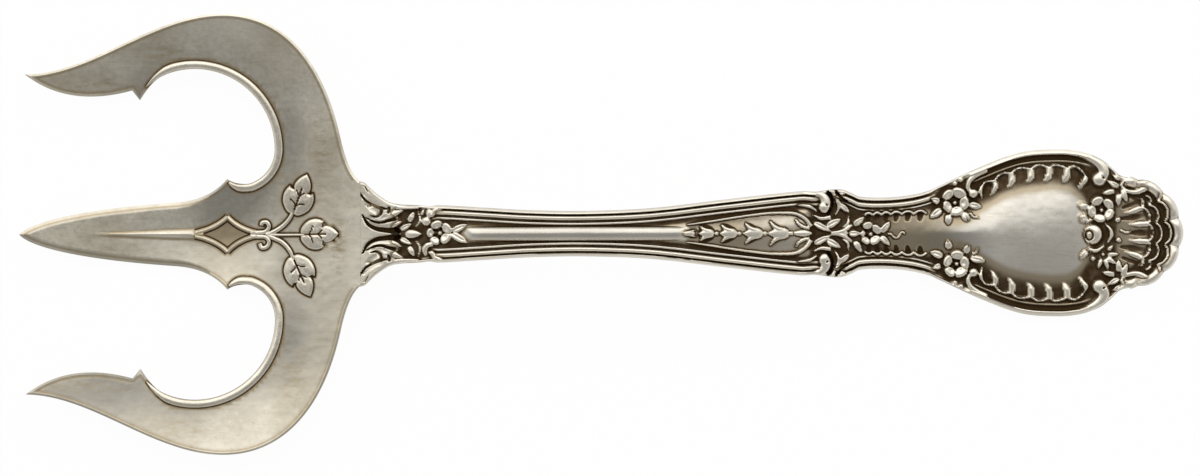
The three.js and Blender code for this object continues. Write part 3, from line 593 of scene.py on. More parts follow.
# %% Leaves
LEAF_PLACES = {
    "leaf_upper": (46.95, 3.5, 70, 7.3),
    "leaf_middle": (48.35, -0.05, 1, 6.6),
    "leaf_lower": (46.9, -3.85, -66, 7.6),
}
LEAF_HALF_WIDTH = 2.65
LEAF_RISE = 0.55
LEAF_SINK = 0.3
LEAF_EDGE = 0.5
LEAF_ROWS = (0.08, 0.18, 0.3, 0.45)
LEAF_PITCH = 0.17
VEIN_DEPTH = 0.3
LEAF_SIDE_LOBE = [
    (0.0, 0.0), (-0.02, 0.14), (-0.01, 0.36), (0.07, 0.66), (0.21, 0.94), (0.37, 1.03), (0.5, 0.98),
    (0.625, 0.8),
]
LEAF_TIP_LOBE = [(0.57, 0.56), (0.68, 0.57), (0.79, 0.48), (0.9, 0.28), (1.0, 0.0)]
LEAF_VEINS = [
    ([(-0.03, 0.0), (0.3, 0.0), (0.64, 0.0)], 0.17),
    ([(0.2, 0.0), (0.27, 0.22), (0.31, 0.5)], 0.1),
    ([(0.43, 0.0), (0.49, 0.12), (0.55, 0.26)], 0.1),
]
leaf_cuts = {}


def leaf_plate(name, x, y, degrees, length):
    turn = math.radians(degrees)
    forward = np.array([math.cos(turn), math.sin(turn)])
    sideways = np.array([-math.sin(turn), math.cos(turn)])

    def placed(shares):
        own = np.array(shares, float) * (length, LEAF_HALF_WIDTH)
        return np.array([x, y]) + own[:, :1] * forward + own[:, 1:] * sideways

    lobes = np.concatenate([flowing(LEAF_SIDE_LOBE, 0.05)[0], flowing(LEAF_TIP_LOBE, 0.05)[0]])
    half = [tuple(point) for point in lobes]
    outline = placed(half + on_side(-1, half[1:-1])[::-1])
    veins = []
    for vein, half_cut in LEAF_VEINS:
        for side in (1, -1):
            veins.append((flowing(placed(on_side(side, vein)))[0], half_cut))

    def cut_share(px, py):
        points = np.column_stack([px, py])
        gaps = [edge_distance(points, line, closed=False) / half_cut for line, half_cut in veins]
        return np.exp(-np.minimum.reduce(gaps) ** 2)

    def face(px, py, inset):
        dome = np.sqrt(np.clip(1 - (1 - np.clip(inset / LEAF_EDGE, 0, 1)) ** 2, 0, 1))
        swell = 0.85 + 0.15 * np.clip(inset / 1.4, 0, 1)
        vein_cut = VEIN_DEPTH * cut_share(px, py) * np.clip(inset / 0.3, 0, 1)
        return head_top(px, py) + LEAF_RISE * dome * swell - vein_cut

    def under(px, py, inset):
        return head_top(px, py) - LEAF_SINK

    made = plate(name + "_silver", outline, LEAF_ROWS, LEAF_PITCH, face, under)
    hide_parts(name)
    leaf_cuts[made.name] = cut_share
    return made


leaves = [leaf_plate(name, *place) for name, place in LEAF_PLACES.items()]

# %% [markdown]
# ## The handle
# A die strikes the whole front of the handle in one blow, so its relief is a height over every point and
# has no undercut. That is also how it is made here. First comes the blank, with the mouldings that run
# along it. Then the ornaments are modelled as loose tools and laid on it. Last, every point of the blank's
# face is raised to the highest tool above it, as silver rises into a die.

# %% Plan of the handle
SHELL_RADIUS = 9.75
SHELL_CENTRE_S = END_S - SHELL_RADIUS
SHELL_LOBE = math.radians(31)
SHELL_NOTCH = 0.5
half_width = through(
    [
        (0, 9.05), (0.8, 8.75), (1.5, 8.1), (2.4, 7.25), (4.1, 6.0), (5.3, 5.4), (7.2, 5.05), (10.6, 4.88),
        (11.8, 4.72), (13.4, 4.9), (20.7, 4.5), (29, 4.02), (38.5, 3.87), (49.7, 4.33), (62.5, 5.8),
        (75.4, 7.2), (78, 7.12), (80.4, 7.46), (82.5, 7.5), (84, 6.96), (85.6, 6.28), (89.8, 6.1),
        (94.3, 6.5), (97.6, 7.3), (99.5, 8.15), (106.4, 11.3), (113.3, 13.8), (119.3, 14.35), (123.6, 14.0),
        (127, 12.8), (129, 11.3), (130.5, 9.9), (132.2, 9.45),
    ]
)


def lobe_share(turn):
    """1 at the middle of a lobe of the shell, 0 between two lobes."""
    return np.abs(np.cos(turn * math.pi / SHELL_LOBE))


def shell_edge(turn):
    """The lobed rim of the shell, as a distance from the shell's centre."""
    return SHELL_RADIUS - SHELL_NOTCH * (1 - lobe_share(turn) ** 0.7)


shell_turns = np.radians(np.linspace(1.5, 86, 62))
shell_rows = SHELL_CENTRE_S + shell_edge(shell_turns) * np.cos(shell_turns)
shell_rows = np.minimum.accumulate(shell_rows)
shell_widths = shell_edge(shell_turns) * np.sin(shell_turns)


def plan_half_width(s):
    return np.where(s < shell_rows[-1], half_width(s), np.interp(s, shell_rows[::-1], shell_widths[::-1]))


print("half width at the pad:", round(float(plan_half_width(np.array(PAD_S))), 2))

# %% [markdown]
# The mouldings are drawn as sections across the handle. Each is a function of the distance in from the
# edge and of the distance from the axis, and gives heights against the crown line. Threads are half
# rounds that stand on a floor. They could be swept along the edge as profiles, but sections that melt into
# each other from station to station also follow the changing width. The fillet of the shaft, the panel of
# the husks, the long cushion and the fan of the shell lie inside the mouldings.

# %% Mouldings along the edge
FLOOR = -1.0
RIM_DROP = 0.5
EDGE_ROUND_DEPTH = 0.4
EDGE_ROUND_WIDTH = 0.45


def half_round(place, centre, half, top, floor=FLOOR, power=0.5):
    return floor + (top - floor) * np.clip(1 - ((place - centre) / half) ** 2, 0, 1) ** power


def rim_band(inset, width, top, floor=FLOOR):
    """A flat rim that slopes outwards, with a steep inner side."""
    slope = top - RIM_DROP * np.clip(1 - inset / width, 0, 1) ** 1.5
    inner = smooth(inset, width - 0.06, width + 0.14)
    return slope * (1 - inner) + floor * inner


def rounded_edge(inset):
    return EDGE_ROUND_DEPTH * np.clip(1 - inset / EDGE_ROUND_WIDTH, 0, 1) ** 2


# %% Sections of the handle
FACE_END = 5.7
FACE_WAVE = 0.5
FACE_SLOPE = 0.9
NECK_SINK = 0.95
SHELL_TOP = -0.12
SHELL_DIP = 0.55


def neck_section(s, inset, off_axis):
    """The head's plain face, which ends above the sunken ground."""
    start = FACE_END + FACE_WAVE * np.cos(2.6 * off_axis)
    sunk = -NECK_SINK * smooth(s - start, 0, FACE_SLOPE)
    dish = off_axis**2 / (2 * DISH_RADIUS) * (1 - smooth(s, 0, 5))
    return np.maximum(sunk, half_round(inset, 0.3, 0.5, -0.18, sunk)) + dish - rounded_edge(inset)


def sunk_section(s, inset, off_axis):
    return half_round(inset, 0.16, 0.34, -0.5) - 0.5 * rounded_edge(inset)


def moulded(rim, threads, floor=FLOOR):
    """A section with a rim, given by its width and top, and half-round threads inside it."""

    def section(s, inset, off_axis):
        rounds = [half_round(inset, *thread, floor) for thread in threads]
        return np.maximum.reduce([rim_band(inset, *rim, floor), *rounds])

    return section


thread_section = moulded((0.56, -0.22), [(1.22, 0.44, -0.32), (2.19, 0.27, -0.5)])
waist_section = moulded((0.5, -0.25), [(1.32, 0.46, -0.22), (2.2, 0.2, -0.55)])
medallion_section = moulded((0.86, -0.05), [(2.0, 0.22, -0.75)], -1.1)


def shell_section(s, inset, off_axis):
    ahead = s - SHELL_CENTRE_S
    turn = np.arctan2(off_axis, ahead)
    radial = shell_edge(turn) - np.hypot(ahead, off_axis)
    deep = np.where(ahead > 0, radial, inset)
    top = SHELL_TOP - SHELL_DIP * (1 - lobe_share(turn)) ** 3
    return half_round(deep, 0.84, 0.92, top)


STATIONS = [
    (0.0, neck_section), (7.4, neck_section), (8.4, sunk_section), (12.0, sunk_section),
    (13.2, thread_section), (78.6, thread_section), (79.4, sunk_section), (80.4, sunk_section),
    (81.6, waist_section), (97.0, waist_section), (99.4, sunk_section), (103.4, sunk_section),
    (105.4, medallion_section), (124.6, medallion_section), (126.6, sunk_section), (130.2, sunk_section),
    (131.8, shell_section), (END_S, shell_section),
]
print("stations along the handle:", len(STATIONS))

# %% Fillet, panel and cushion inside the mouldings
cushion_reach = through(
    [
        (88, 3.6), (91, 4.4), (97, 4.4), (100, 3.9), (102, 3.6), (104.5, 4.4), (106.5, 6.0), (109, 8.2),
        (112, 9.8), (116, 10.6), (120, 10.8), (122.4, 9.8), (124.4, 7.4), (126, 4.0),
    ]
)
cushion_top = through(
    [
        (88, -0.95), (90.6, -0.78), (93, -0.6), (96, -0.44), (100, -0.2), (104, 0.06), (108, 0.38),
        (112, 0.52), (117, 0.48), (120, 0.34), (122.4, 0.0), (124.4, -0.55), (126, -1.0),
    ]
)
CUSHION_START = 88.0
CUSHION_END = 126.0
CUSHION_FOOT = -0.95
FILLET_HALF_WIDTH = 1.25
BED_RISE = 0.3
BED_INSET = 2.6
PANEL_RISE = 0.28
PANEL_INSET = 3.6
FAN_RISE = 0.18
FAN_CENTRE = 130.5
FAN_EDGE = (4.6, 5.2)
FILLET_ENDS = ((17.0, 19.4), (54.0, 58.0))
BED_ENDS = ((15, 20), (76, 78))
PANEL_ENDS = ((54.0, 58.6), (76.2, 77.6))


def within(s, ends):
    """1 along a stretch of the handle, fading in and out at its ends."""
    fade_in, fade_out = ends
    return smooth(s, *fade_in) * (1 - smooth(s, *fade_out))


def inner_height(s, off_axis, half):
    """Height of what lies inside the mouldings: fillet, panel and fan, or the cushion where it runs."""
    fillet_round = half_round(off_axis, 0, FILLET_HALF_WIDTH, 0.0)
    fillet = FLOOR + within(s, FILLET_ENDS) * (fillet_round - FLOOR)
    inset = half - off_axis
    bed_rise = BED_RISE * smooth(inset - BED_INSET, 0, 1.2)
    bed = FLOOR + bed_rise * within(s, BED_ENDS)
    panel_rise = bed_rise + PANEL_RISE * smooth(inset - PANEL_INSET, 0, 2.6)
    panel = FLOOR + within(s, PANEL_ENDS) * panel_rise
    from_centre = np.hypot(s - FAN_CENTRE, 0.75 * off_axis)
    fan_share = smooth(s, 129, 130.4) * (1 - smooth(from_centre, *FAN_EDGE))
    fan = FLOOR + FAN_RISE * fan_share
    if not CUSHION_START < s < CUSHION_END:
        return np.maximum.reduce([fillet, bed, panel, fan])
    top = float(cushion_top(s))
    share = np.clip(off_axis / float(cushion_reach(s)), 0, 1.3)
    soft = 0.08 + 0.2 * float(smooth(s, 104, 114))
    return top - (top - CUSHION_FOOT) * ((share**2 + soft**2) ** 0.7 - soft**1.4)


def blank_height(s, y):
    """Height of the blank's face against the crown line, for a row of points across it."""
    places = [station[0] for station in STATIONS]
    i = int(np.clip(np.searchsorted(places, s, side="right") - 1, 0, len(STATIONS) - 2))
    half = float(plan_half_width(np.array(s)))
    off_axis = np.abs(y)
    inset = half - off_axis
    share = smooth(s, places[i], places[i + 1])
    before = STATIONS[i][1](s, inset, off_axis)
    after = STATIONS[i + 1][1](s, inset, off_axis)
    inner = inner_height(s, off_axis, half) - 3 * rounded_edge(inset)
    return np.maximum(before * (1 - share) + after * share, inner)


print("the cushion is", CUSHION_END - CUSHION_START, "mm long")

# %% [markdown]
# The blank starts as one flat grid. Its rows become rings round the handle: most of a ring's points lie
# on the face, where the relief is, and a few go round the back. Rows stand close together where there is
# ornament and further apart on the plain shaft. Near the edge the columns keep a fixed distance from it,
# so that a thread stays on the same columns all along.

# %% Blank of the handle
FACE_COLUMNS = 140
BACK_COLUMNS = 12
LEAST_EDGE = 0.3
BACK_POWERS = (0.8, 0.75)
ROW_STRETCHES = [
    (0, 18.5, 0.185), (18.5, 54, 1.0), (54, 76, 0.2), (76, 97, 0.175), (97, 108, 0.18), (108, 124, 0.27),
    (124, float(shell_rows[-1]), 0.175),
]
edge_band = through([(0, 3.0), (100, 2.8), (107, 6.0), (112, 6.4), (122, 6.4), (127, 4.0), (END_S, 4.0)])
edge_hold = through(
    [
        (0, 0), (11, 0), (15, 1), (76, 1), (79, 0.3), (82, 0.3), (85, 0.7), (96, 0.7), (99, 0), (104, 0),
        (109, 1), (121, 1), (125, 0), (END_S, 0),
    ]
)
band_share = through([(0, 0.6), (52, 0.6), (58, 0.46), (78, 0.46), (84, 0.6), (END_S, 0.6)])


def row_places():
    rows = []
    for start, end, pitch in ROW_STRETCHES:
        rows.append(np.linspace(start, end, int((end - start) / pitch), endpoint=False))
    return np.concatenate(rows + [shell_rows[::-1]])


def column_places(s, half):
    """Places across the handle, from one edge to the other."""
    t = np.linspace(0, 1, FACE_COLUMNS // 2 + 1)
    band = min(float(edge_band(s)), 0.8 * half)
    aligned = np.interp(t, (0, float(band_share(s)), 1), (0, band, half))
    hold = float(np.clip(edge_hold(s), 0, 1))
    side = half - (half * t * (1 - hold) + aligned * hold)
    return np.concatenate([side, -side[-2::-1]])


rows = row_places()
bpy.ops.object.select_all(action="DESELECT")
around = FACE_COLUMNS + BACK_COLUMNS
bpy.ops.mesh.primitive_grid_add(x_subdivisions=len(rows) - 1, y_subdivisions=around, size=1)
handle = bpy.context.object
handle.name = "handle_struck"
flat = mesh_points(handle)
row_of = np.rint((flat[:, 0] + 0.5) * (len(rows) - 1)).astype(int)
column_of = np.rint((flat[:, 1] + 0.5) * around).astype(int)


def ring(s):
    """One ring of the handle: its face from edge to edge, then its back, and its first point again."""
    x = HANDLE_X + s
    half = float(plan_half_width(np.array(s)))
    top = float(crown(x))
    y = column_places(s, half)
    face = np.column_stack([np.full(len(y), x), y, top + blank_height(s, y)])
    under = max(top - float(handle_thickness(s)), 0.0)
    edge = max(min(face[0, 2], face[-1, 2]), under + LEAST_EDGE)
    face[[0, -1], 2] = edge
    turn = np.linspace(0, math.pi, BACK_COLUMNS + 1)[1:-1]
    back_y = -half * np.sign(np.cos(turn)) * np.abs(np.cos(turn)) ** BACK_POWERS[0]
    back_z = edge - (edge - under) * np.sin(turn) ** BACK_POWERS[1]
    back = np.column_stack([np.full(len(turn), x), back_y, np.maximum(back_z, 0.0)])
    return np.concatenate([face, back, face[:1]])


rings = np.array([ring(s) for s in rows])
print("the blank has", len(rows), "rows and", len(flat), "points")

# %% [markdown]
# ## Tools for the relief
# A bead, a petal and a leaf are modelled once each. All three start as a sphere whose top is pressed
# flatter. The petal gets a cup near its inner end. The leaf is drawn out to a point and creased along the
# middle, and a bud is a leaf without the crease. Copies are turned, sized and set down where they belong,
# each with a mesh of its own. A cut is a line that the die leaves deep, and polish leaves dark. Every
# ornament could be sculpted by itself, but a few tools used often give the even look of a cut die.

# %% Bead, petal and leaf
def sphere(name, flatness):
    bpy.ops.object.select_all(action="DESELECT")
    bpy.ops.mesh.primitive_uv_sphere_add(segments=28, ring_count=16, radius=1)
    made = bpy.context.object
    made.name = name
    points = mesh_points(made)
    points[:, 2] = np.sign(points[:, 2]) * np.abs(points[:, 2]) ** flatness
    set_points(made, points)
    return made


def pointed(name, crease_depth):
    """A sphere drawn out to a point at one end, with a crease along the middle."""
    made = sphere(name, 0.4)
    blade = mesh_points(made)
    along = np.clip((blade[:, 0] + 1) / 2, 0.001, 0.999)
    outline_share = along**0.5 * (1 - along) ** 0.85 / 0.41
    blade[:, 1] *= outline_share / np.sqrt(4 * along * (1 - along))
    crease = np.exp(-((blade[:, 1] / 0.2) ** 2)) * (blade[:, 2] > 0) * smooth(0.85 - along, 0, 0.2)
    blade[:, 2] -= crease_depth * crease
    set_points(made, blade)
    return made


bead_tool = sphere("bead_tool", 0.6)
leaf_tool = pointed("leaf_tool", 0.26)
bud_tool = pointed("bud_tool", 0.0)
petal_tool = sphere("petal_tool", 0.36)
petal = mesh_points(petal_tool)
cup = np.exp(-((petal[:, 0] + 0.4) ** 2 / 0.25 + petal[:, 1] ** 2 / 0.3))
petal[:, 2] -= 0.4 * cup * (petal[:, 2] > 0)
set_points(petal_tool, petal)
print("points of one tool:", len(petal))

# %% Setting the tools down
relief = []
cuts = []
SPREAD = 1.1


def lay(tool, x, y, degrees, length, width, rise, level=FLOOR):
    """A copy of a tool on the handle. length and width are half sizes, and level is against the crown."""
    copy = tool.copy()
    copy.data = tool.data.copy()
    bpy.context.scene.collection.objects.link(copy)
    turn = math.radians(degrees)
    own = mesh_points(copy) * (SPREAD * length, SPREAD * width, rise)
    placed_x = x + own[:, 0] * math.cos(turn) - own[:, 1] * math.sin(turn)
    placed_y = y + own[:, 0] * math.sin(turn) + own[:, 1] * math.cos(turn)
    set_points(copy, to_frame(np.column_stack([placed_x, placed_y, own[:, 2] + crown(placed_x) + level])))
    relief.append(copy)


def bead(x, y, radius, rise, level=FLOOR):
    lay(bead_tool, x, y, 0, radius, radius, rise, level)


def leaf(start, end, half, rise=0.8, level=FLOOR):
    """A leaf from its base to its tip."""
    dx, dy = end[0] - start[0], end[1] - start[1]
    middle = ((start[0] + end[0]) / 2, (start[1] + end[1]) / 2)
    degrees = math.degrees(math.atan2(dy, dx))
    lay(leaf_tool, *middle, degrees, math.hypot(dx, dy) / 2, half, rise, level)


def scroll(line, widths, rise=0.8, level=FLOOR):
    spread = np.multiply(SPREAD, widths)
    relief.append(strand("scroll", line, spread, rise, lambda x, y: crown(x) + level))


def cut(line, widths, depths):
    """A deep line in plan, with half widths and depths at its points."""
    path, place = flowing(line, 0.1)
    corners = np.arange(len(line))
    width = np.interp(place, corners, np.broadcast_to(widths, len(line)))
    depth = np.interp(place, corners, np.broadcast_to(depths, len(line)))
    cuts.append((path, width, depth))


# %% Flowers, and tools on both sides
PETAL_SHARES = (0.94, 1.34)
PETAL_CUT_WIDTHS = (0.09, 0.12)
PETAL_CUT_DEPTHS = (0.26, 0.36)


def blossom(centre, petals, heart, rise=0.8, level=FLOOR):
    """A flower: cupped petals, each with its place and radius, round a bead, and a cut between each two."""
    for x, y, radius in petals:
        degrees = math.degrees(math.atan2(y - centre[1], x - centre[0]))
        length, width = (share * radius for share in PETAL_SHARES)
        lay(petal_tool, x, y, degrees, length, width, rise, level)
    bead(*centre, heart, 0.95 * rise, level)
    heart_place = np.array(centre)
    places = np.array(petals)[:, :2] - heart_place
    places = places[np.argsort(np.arctan2(places[:, 1], places[:, 0]))]
    for a, b in zip(places, np.roll(places, -1, axis=0)):
        outward = (a + b) / np.linalg.norm(a + b)
        ends = [heart_place + reach * outward for reach in (1.3 * heart, 1.25 * np.linalg.norm(a))]
        cut([tuple(end) for end in ends], PETAL_CUT_WIDTHS, PETAL_CUT_DEPTHS)


def on_both(scrolls=(), blades=(), beads=(), cut_lines=(), level=FLOOR):
    """Lays the same tools on the upper and on the lower side. A row ends with its rise or its depth."""
    for side in (1, -1):
        for line, widths, rise in scrolls:
            scroll(on_side(side, line), widths, rise, level)
        for start, end, half, rise in blades:
            leaf(*on_side(side, (start, end)), half, rise, level)
        for x, y, radius, rise in beads:
            bead(x, side * y, radius, rise, level)
        for line, widths, depths in cut_lines:
            cut(on_side(side, line), widths, depths)


# %% [markdown]
# ## Ornament of the neck
# Where the handle leaves the head, leaves sweep back on both sides of a plain tongue. Behind them lie a
# bud, scroll buds and a rosette with a pair of leaves, on a sunken ground. The sweeping leaves belong to
# the plain face, so cuts of different depth draw them, and scrolls raise their tips.

# %% Neck
SICKLE_LEVEL = -0.88
SICKLES = [
    ([(60.7, 6.0), (61.6, 5.4), (63.2, 4.75), (66.0, 4.5), (68.6, 4.5)],
     (0.35, 0.42, 0.4, 0.34, 0.25), 0.85),
    ([(62.7, 2.75), (63.6, 3.1), (64.7, 3.6), (66.0, 4.05)], (0.4, 0.62, 0.6, 0.12), 0.88),
    ([(62.0, 1.5), (63.2, 1.4), (64.6, 1.65), (65.8, 2.2)], (0.4, 0.56, 0.5, 0.08), 0.88),
    ([(70.4, 3.3), (70.9, 3.2), (71.4, 4.0), (72.6, 4.45)], (0.3, 0.42, 0.4, 0.3), 0.7),
]
NECK_CUTS = [
    ([(58.5, 7.1), (59.45, 5.86), (60.7, 5.05), (62.2, 4.45), (63.2, 4.3)],
     (0.1, 0.22, 0.27, 0.36, 0.14), 0.7),
    ([(59.4, 8.2), (59.9, 7.3)], (0.1, 0.14), 0.4),
    ([(60.4, 3.15), (61.4, 2.98), (62.1, 3.5), (62.3, 4.2)], (0.12, 0.22, 0.36, 0.3), 0.7),
    ([(59.9, 4.7), (60.5, 4.85)], (0.12, 0.2), 0.5),
    ([(59.0, 3.3), (59.9, 1.75), (61.3, 0.95), (63.0, 0.68), (65.0, 0.5)],
     (0.1, 0.3, 0.4, 0.5, 0.55), 0.85),
    ([(59.7, 2.75), (60.9, 2.18), (62.2, 1.98), (63.4, 2.3), (64.6, 2.6)],
     (0.09, 0.22, 0.26, 0.3, 0.4), 0.75),
    ([(63.35, 3.6), (63.65, 4.05), (63.6, 4.5)], (0.16, 0.34, 0.28), 0.65),
    ([(59.2, 6.9), (60.4, 5.6), (62.0, 4.95)], (0.1, 0.6, 0.4), 0.16),
    ([(59.6, 5.0), (60.6, 4.4), (61.6, 3.7)], (0.1, 0.6, 0.5), 0.14),
    ([(60.3, 2.75), (61.6, 2.5), (63.0, 2.9)], (0.35, 0.45, 0.4), 0.14),
    ([(60.4, 1.75), (61.8, 1.3), (63.4, 1.25)], (0.3, 0.4, 0.4), 0.14),
]
NECK_BLADES = [((65.5, 0.75), (67.4, 1.75), 0.48, 0.8), ((67.0, 2.1), (67.8, 3.8), 0.5, 0.8)]
NECK_TENDRIL = ([(68.2, 1.2), (68.9, 2.4), (68.5, 3.9)], (0.1, 0.22, 0.1), 0.5)
NECK_PETALS = [
    (73.5, 0.95, 0.76), (73.3, -0.7, 0.8), (71.4, -1.15, 0.66), (70.6, 0.2, 0.6), (71.7, 1.6, 0.72),
]
on_both(SICKLES, level=SICKLE_LEVEL)
on_both([NECK_TENDRIL], NECK_BLADES, cut_lines=NECK_CUTS)
lay(bud_tool, 67.75, 0.0, 0, 1.4, 0.72, 0.9)
bead(69.9, 2.15, 0.75, 0.8)
lay(bead_tool, 70.45, 3.5, 90, 0.75, 0.55, 0.8)
leaf((69.1, 3.2), (69.6, 4.3), 0.25, 0.7)
scroll([(71.1, -1.75), (70.1, -1.95), (69.65, -2.7), (69.9, -3.7)], (0.4, 0.52, 0.5, 0.3))
blossom((72.3, 0.15), NECK_PETALS, 0.36)
leaf((74.5, 0.5), (76.9, 1.6), 0.6)
leaf((74.4, 0.0), (76.9, -1.5), 0.66)
print("tools for the neck:", len(relief), "and cuts:", len(cuts))

# %% [markdown]
# ## Husks
# Four bellflowers hang one behind the other in a long panel, after a small sprout at its narrow end. Each
# is a cup with a middle lip and two lips that curl outwards, and a bead holds it to the next. They grow
# towards the medallion. One husk could be copied and scaled, but then its beads and the width of its lips
# would grow too, so a loop sizes each one.

# %% Husk chain
PANEL = -0.5
HUSK_RISE = 0.65
LIP_WIDTHS = (0.38, 0.42, 0.36, 0.1)
HUSKS = [(116.6, 119.1, 1.25), (120.2, 123.0, 1.5), (124.25, 127.4, 1.77), (128.5, 131.9, 2.05)]
for start, end, spread in HUSKS:
    length = end - start
    lay(bud_tool, (start + end) / 2, 0, 180, 0.5 * length, 0.4 + 0.27 * spread, HUSK_RISE, PANEL)
    lip_shares = ((0.68, 0.3), (0.45, 0.4), (0.3, 0.56), (0.08, 1.0))
    lip = [(start + along_share * length, side_share * spread) for along_share, side_share in lip_shares]
    on_both([(lip, LIP_WIDTHS, HUSK_RISE)], level=PANEL)
    bead(end + 0.5, 0, 0.32, 0.5, PANEL)
lay(bud_tool, 114.65, 0, 180, 1.15, 0.42, 0.4, PANEL)
on_both([([(114.6, 0.22), (115.3, 0.36), (116.0, 0.6)], (0.12, 0.18, 0.08), 0.4)], level=PANEL)
lay(bead_tool, 134.4, 0.0, 0, 1.5, 0.5, 0.5, PANEL)
print("husks:", len(HUSKS))

# %% Border of the panel
BORDER = [
    (114.6, 1.5), (118, 1.97), (123.6, 2.85), (128, 3.4), (131, 3.52), (133.2, 3.35), (134.9, 2.4),
    (135.85, 1.1),
]
BORDER_WIDTHS = (0.12, 0.2, 0.2, 0.22, 0.24, 0.28, 0.34, 0.4)
BORDER_LEVEL = PANEL - 0.2
EAR = [(133.2, 2.35), (133.7, 1.6), (134.6, 1.05), (135.6, 0.9)]
EAR_WIDTHS = (0.1, 0.24, 0.28, 0.3)
EAR_LEVEL = PANEL - 0.1
on_both([(BORDER, BORDER_WIDTHS, 0.65)], level=BORDER_LEVEL)
on_both([(EAR, EAR_WIDTHS, 0.5)], level=EAR_LEVEL)
print("the border of the panel is", round(BORDER[-1][0] - BORDER[0][0], 2), "mm long")

# %% [markdown]
# ## Shoulder
# The shaft's rim ends in a scroll with a round bulb on each side, and leaves fan out from the axis between
# them, so the threads of the shaft seem to grow into the waist. The two sides are nearly alike, so one
# table of tools is laid on both.

# %% Shoulder
SHOULDER_SCROLLS = [
    ([(134.2, 6.95), (136.6, 6.85), (137.9, 6.2), (138.4, 5.2), (138.15, 4.35)],
     (0.35, 0.5, 0.8, 1.05, 1.12), 1.05),
    ([(133.6, 4.9), (135.6, 4.55), (136.8, 3.85)], (0.25, 0.32, 0.2), 0.7),
    ([(136.2, 3.1), (137.6, 2.55), (139.2, 2.75)], (0.15, 0.36, 0.42), 0.75),
    ([(139.4, 7.3), (140.35, 5.6), (140.5, 4.2), (140.0, 3.1)], (0.3, 0.3, 0.28, 0.1), 0.75),
    ([(139.5, 7.2), (140.6, 5.4), (141.5, 4.3)], (0.28, 0.24, 0.2), 0.75),
    ([(141.2, 0.95), (142.15, 1.75), (142.3, 2.95)], (0.12, 0.3, 0.14), 0.75),
    ([(139.3, 0.1), (141.2, 0.35), (142.9, 1.45)], (0.25, 0.42, 0.26), 0.85),
]
SHOULDER_BLADES = [
    ((136.4, 1.75), (139.1, 0.4), 0.55, 0.8), ((138.6, 1.2), (140.9, 2.45), 0.62, 0.8),
    ((140.9, 4.9), (142.4, 3.55), 0.48, 0.8), ((140.6, 6.9), (142.0, 7.0), 0.4, 0.7),
]
SHOULDER_BULB = (138.15, 4.45, 0.98, 1.08)
SHOULDER_CUTS = [
    ([(138.45, 4.95), (138.6, 4.8)], 0.17, 0.5),
    ([(138.5, 7.5), (139.3, 6.0), (139.35, 4.7), (138.7, 3.35)], (0.2, 0.26, 0.3, 0.24), 0.7),
    ([(139.9, 7.6), (140.8, 6.3), (142.1, 5.5)], (0.2, 0.24, 0.14), 0.7),
]
on_both(SHOULDER_SCROLLS, SHOULDER_BLADES, [SHOULDER_BULB], SHOULDER_CUTS)
lay(bead_tool, 140.9, 0.0, 0, 1.3, 0.5, 0.75)
leaf((142.4, -0.05), (144.35, -0.05), 0.55)
print("tools so far:", len(relief), "and cuts:", len(cuts))

# %% [markdown]
# ## Waist
# A rosette with four leaves sits on a sunken tray and a tendril curls away from it. A wavy ridge runs
# along each side of the tray, and little scoops open from it towards the axis. The scoops get longer and
# deeper towards the medallion, so a loop bows the ridge over each of them and cuts its hollow.

# %% Waist
WAIST_PETALS = [
    (145.55, 1.35, 0.66), (147.1, 0.7, 0.66), (146.8, -1.2, 0.74), (145.2, -1.25, 0.6), (144.75, -0.05, 0.4),
]
WAIST_LEAVES = [
    ((143.2, 1.4), (144.95, 2.75)), ((148.0, 0.2), (149.4, 2.0)), ((147.9, -0.55), (149.3, -2.05)),
    ((143.35, -1.4), (144.5, -3.25)),
]
WAIST_TENDRIL = [
    (149.0, -0.1), (149.6, -0.15), (150.1, -0.68), (150.65, -0.8), (151.05, -0.35), (151.45, 0.18),
    (152.0, 0.0),
]
TENDRIL_LEVEL = -0.65
SCOOPS = [(145.0, 1.5), (146.5, 1.5), (148.0, 1.6), (149.6, 1.9), (151.5, 2.1), (153.6, 2.2)]
SCOOP_LEVEL = -0.95
SCOOP_BOW = 0.42
RIDGE_WIDTHS = (0.2, 0.24, 0.24, 0.2)
blossom((146.1, -0.15), WAIST_PETALS, 0.36)
for start, end in WAIST_LEAVES:
    leaf(start, end, 0.55)
scroll(WAIST_TENDRIL, 0.17, 0.45, TENDRIL_LEVEL)
for i, (x, length) in enumerate(SCOOPS):
    base = 3.0 + 0.04 * (x - SCOOPS[0][0])
    crest = base + SCOOP_BOW
    bow = [(x, base), (x + 0.3 * length, crest), (x + 0.7 * length, crest), (x + length, base)]
    middle = x + 0.5 * length
    hollow = [(middle - 0.1, base - 0.85), (middle, base - 0.2)]
    hollow_cut = (hollow, (0.22 * length, 0.27 * length), (0.12 + 0.05 * i, 0.3 + 0.04 * i))
    on_both([(bow, RIDGE_WIDTHS, 0.6)], cut_lines=[hollow_cut], level=SCOOP_LEVEL)
print("scoops on each side of the waist:", len(SCOOPS))

# %% [markdown]
# ## Medallion
# Two large rosettes fill the corners where the waist swells. From a bead beside each, the rim sweeps round
# the medallion to a bulb near the shell. Inside the rim a wavy ridge and slanting ribs make a row of
# flutes, which fade into the plain cushion. The two rosettes differ, so each has its own table, while the
# flutes are the same on both sides.

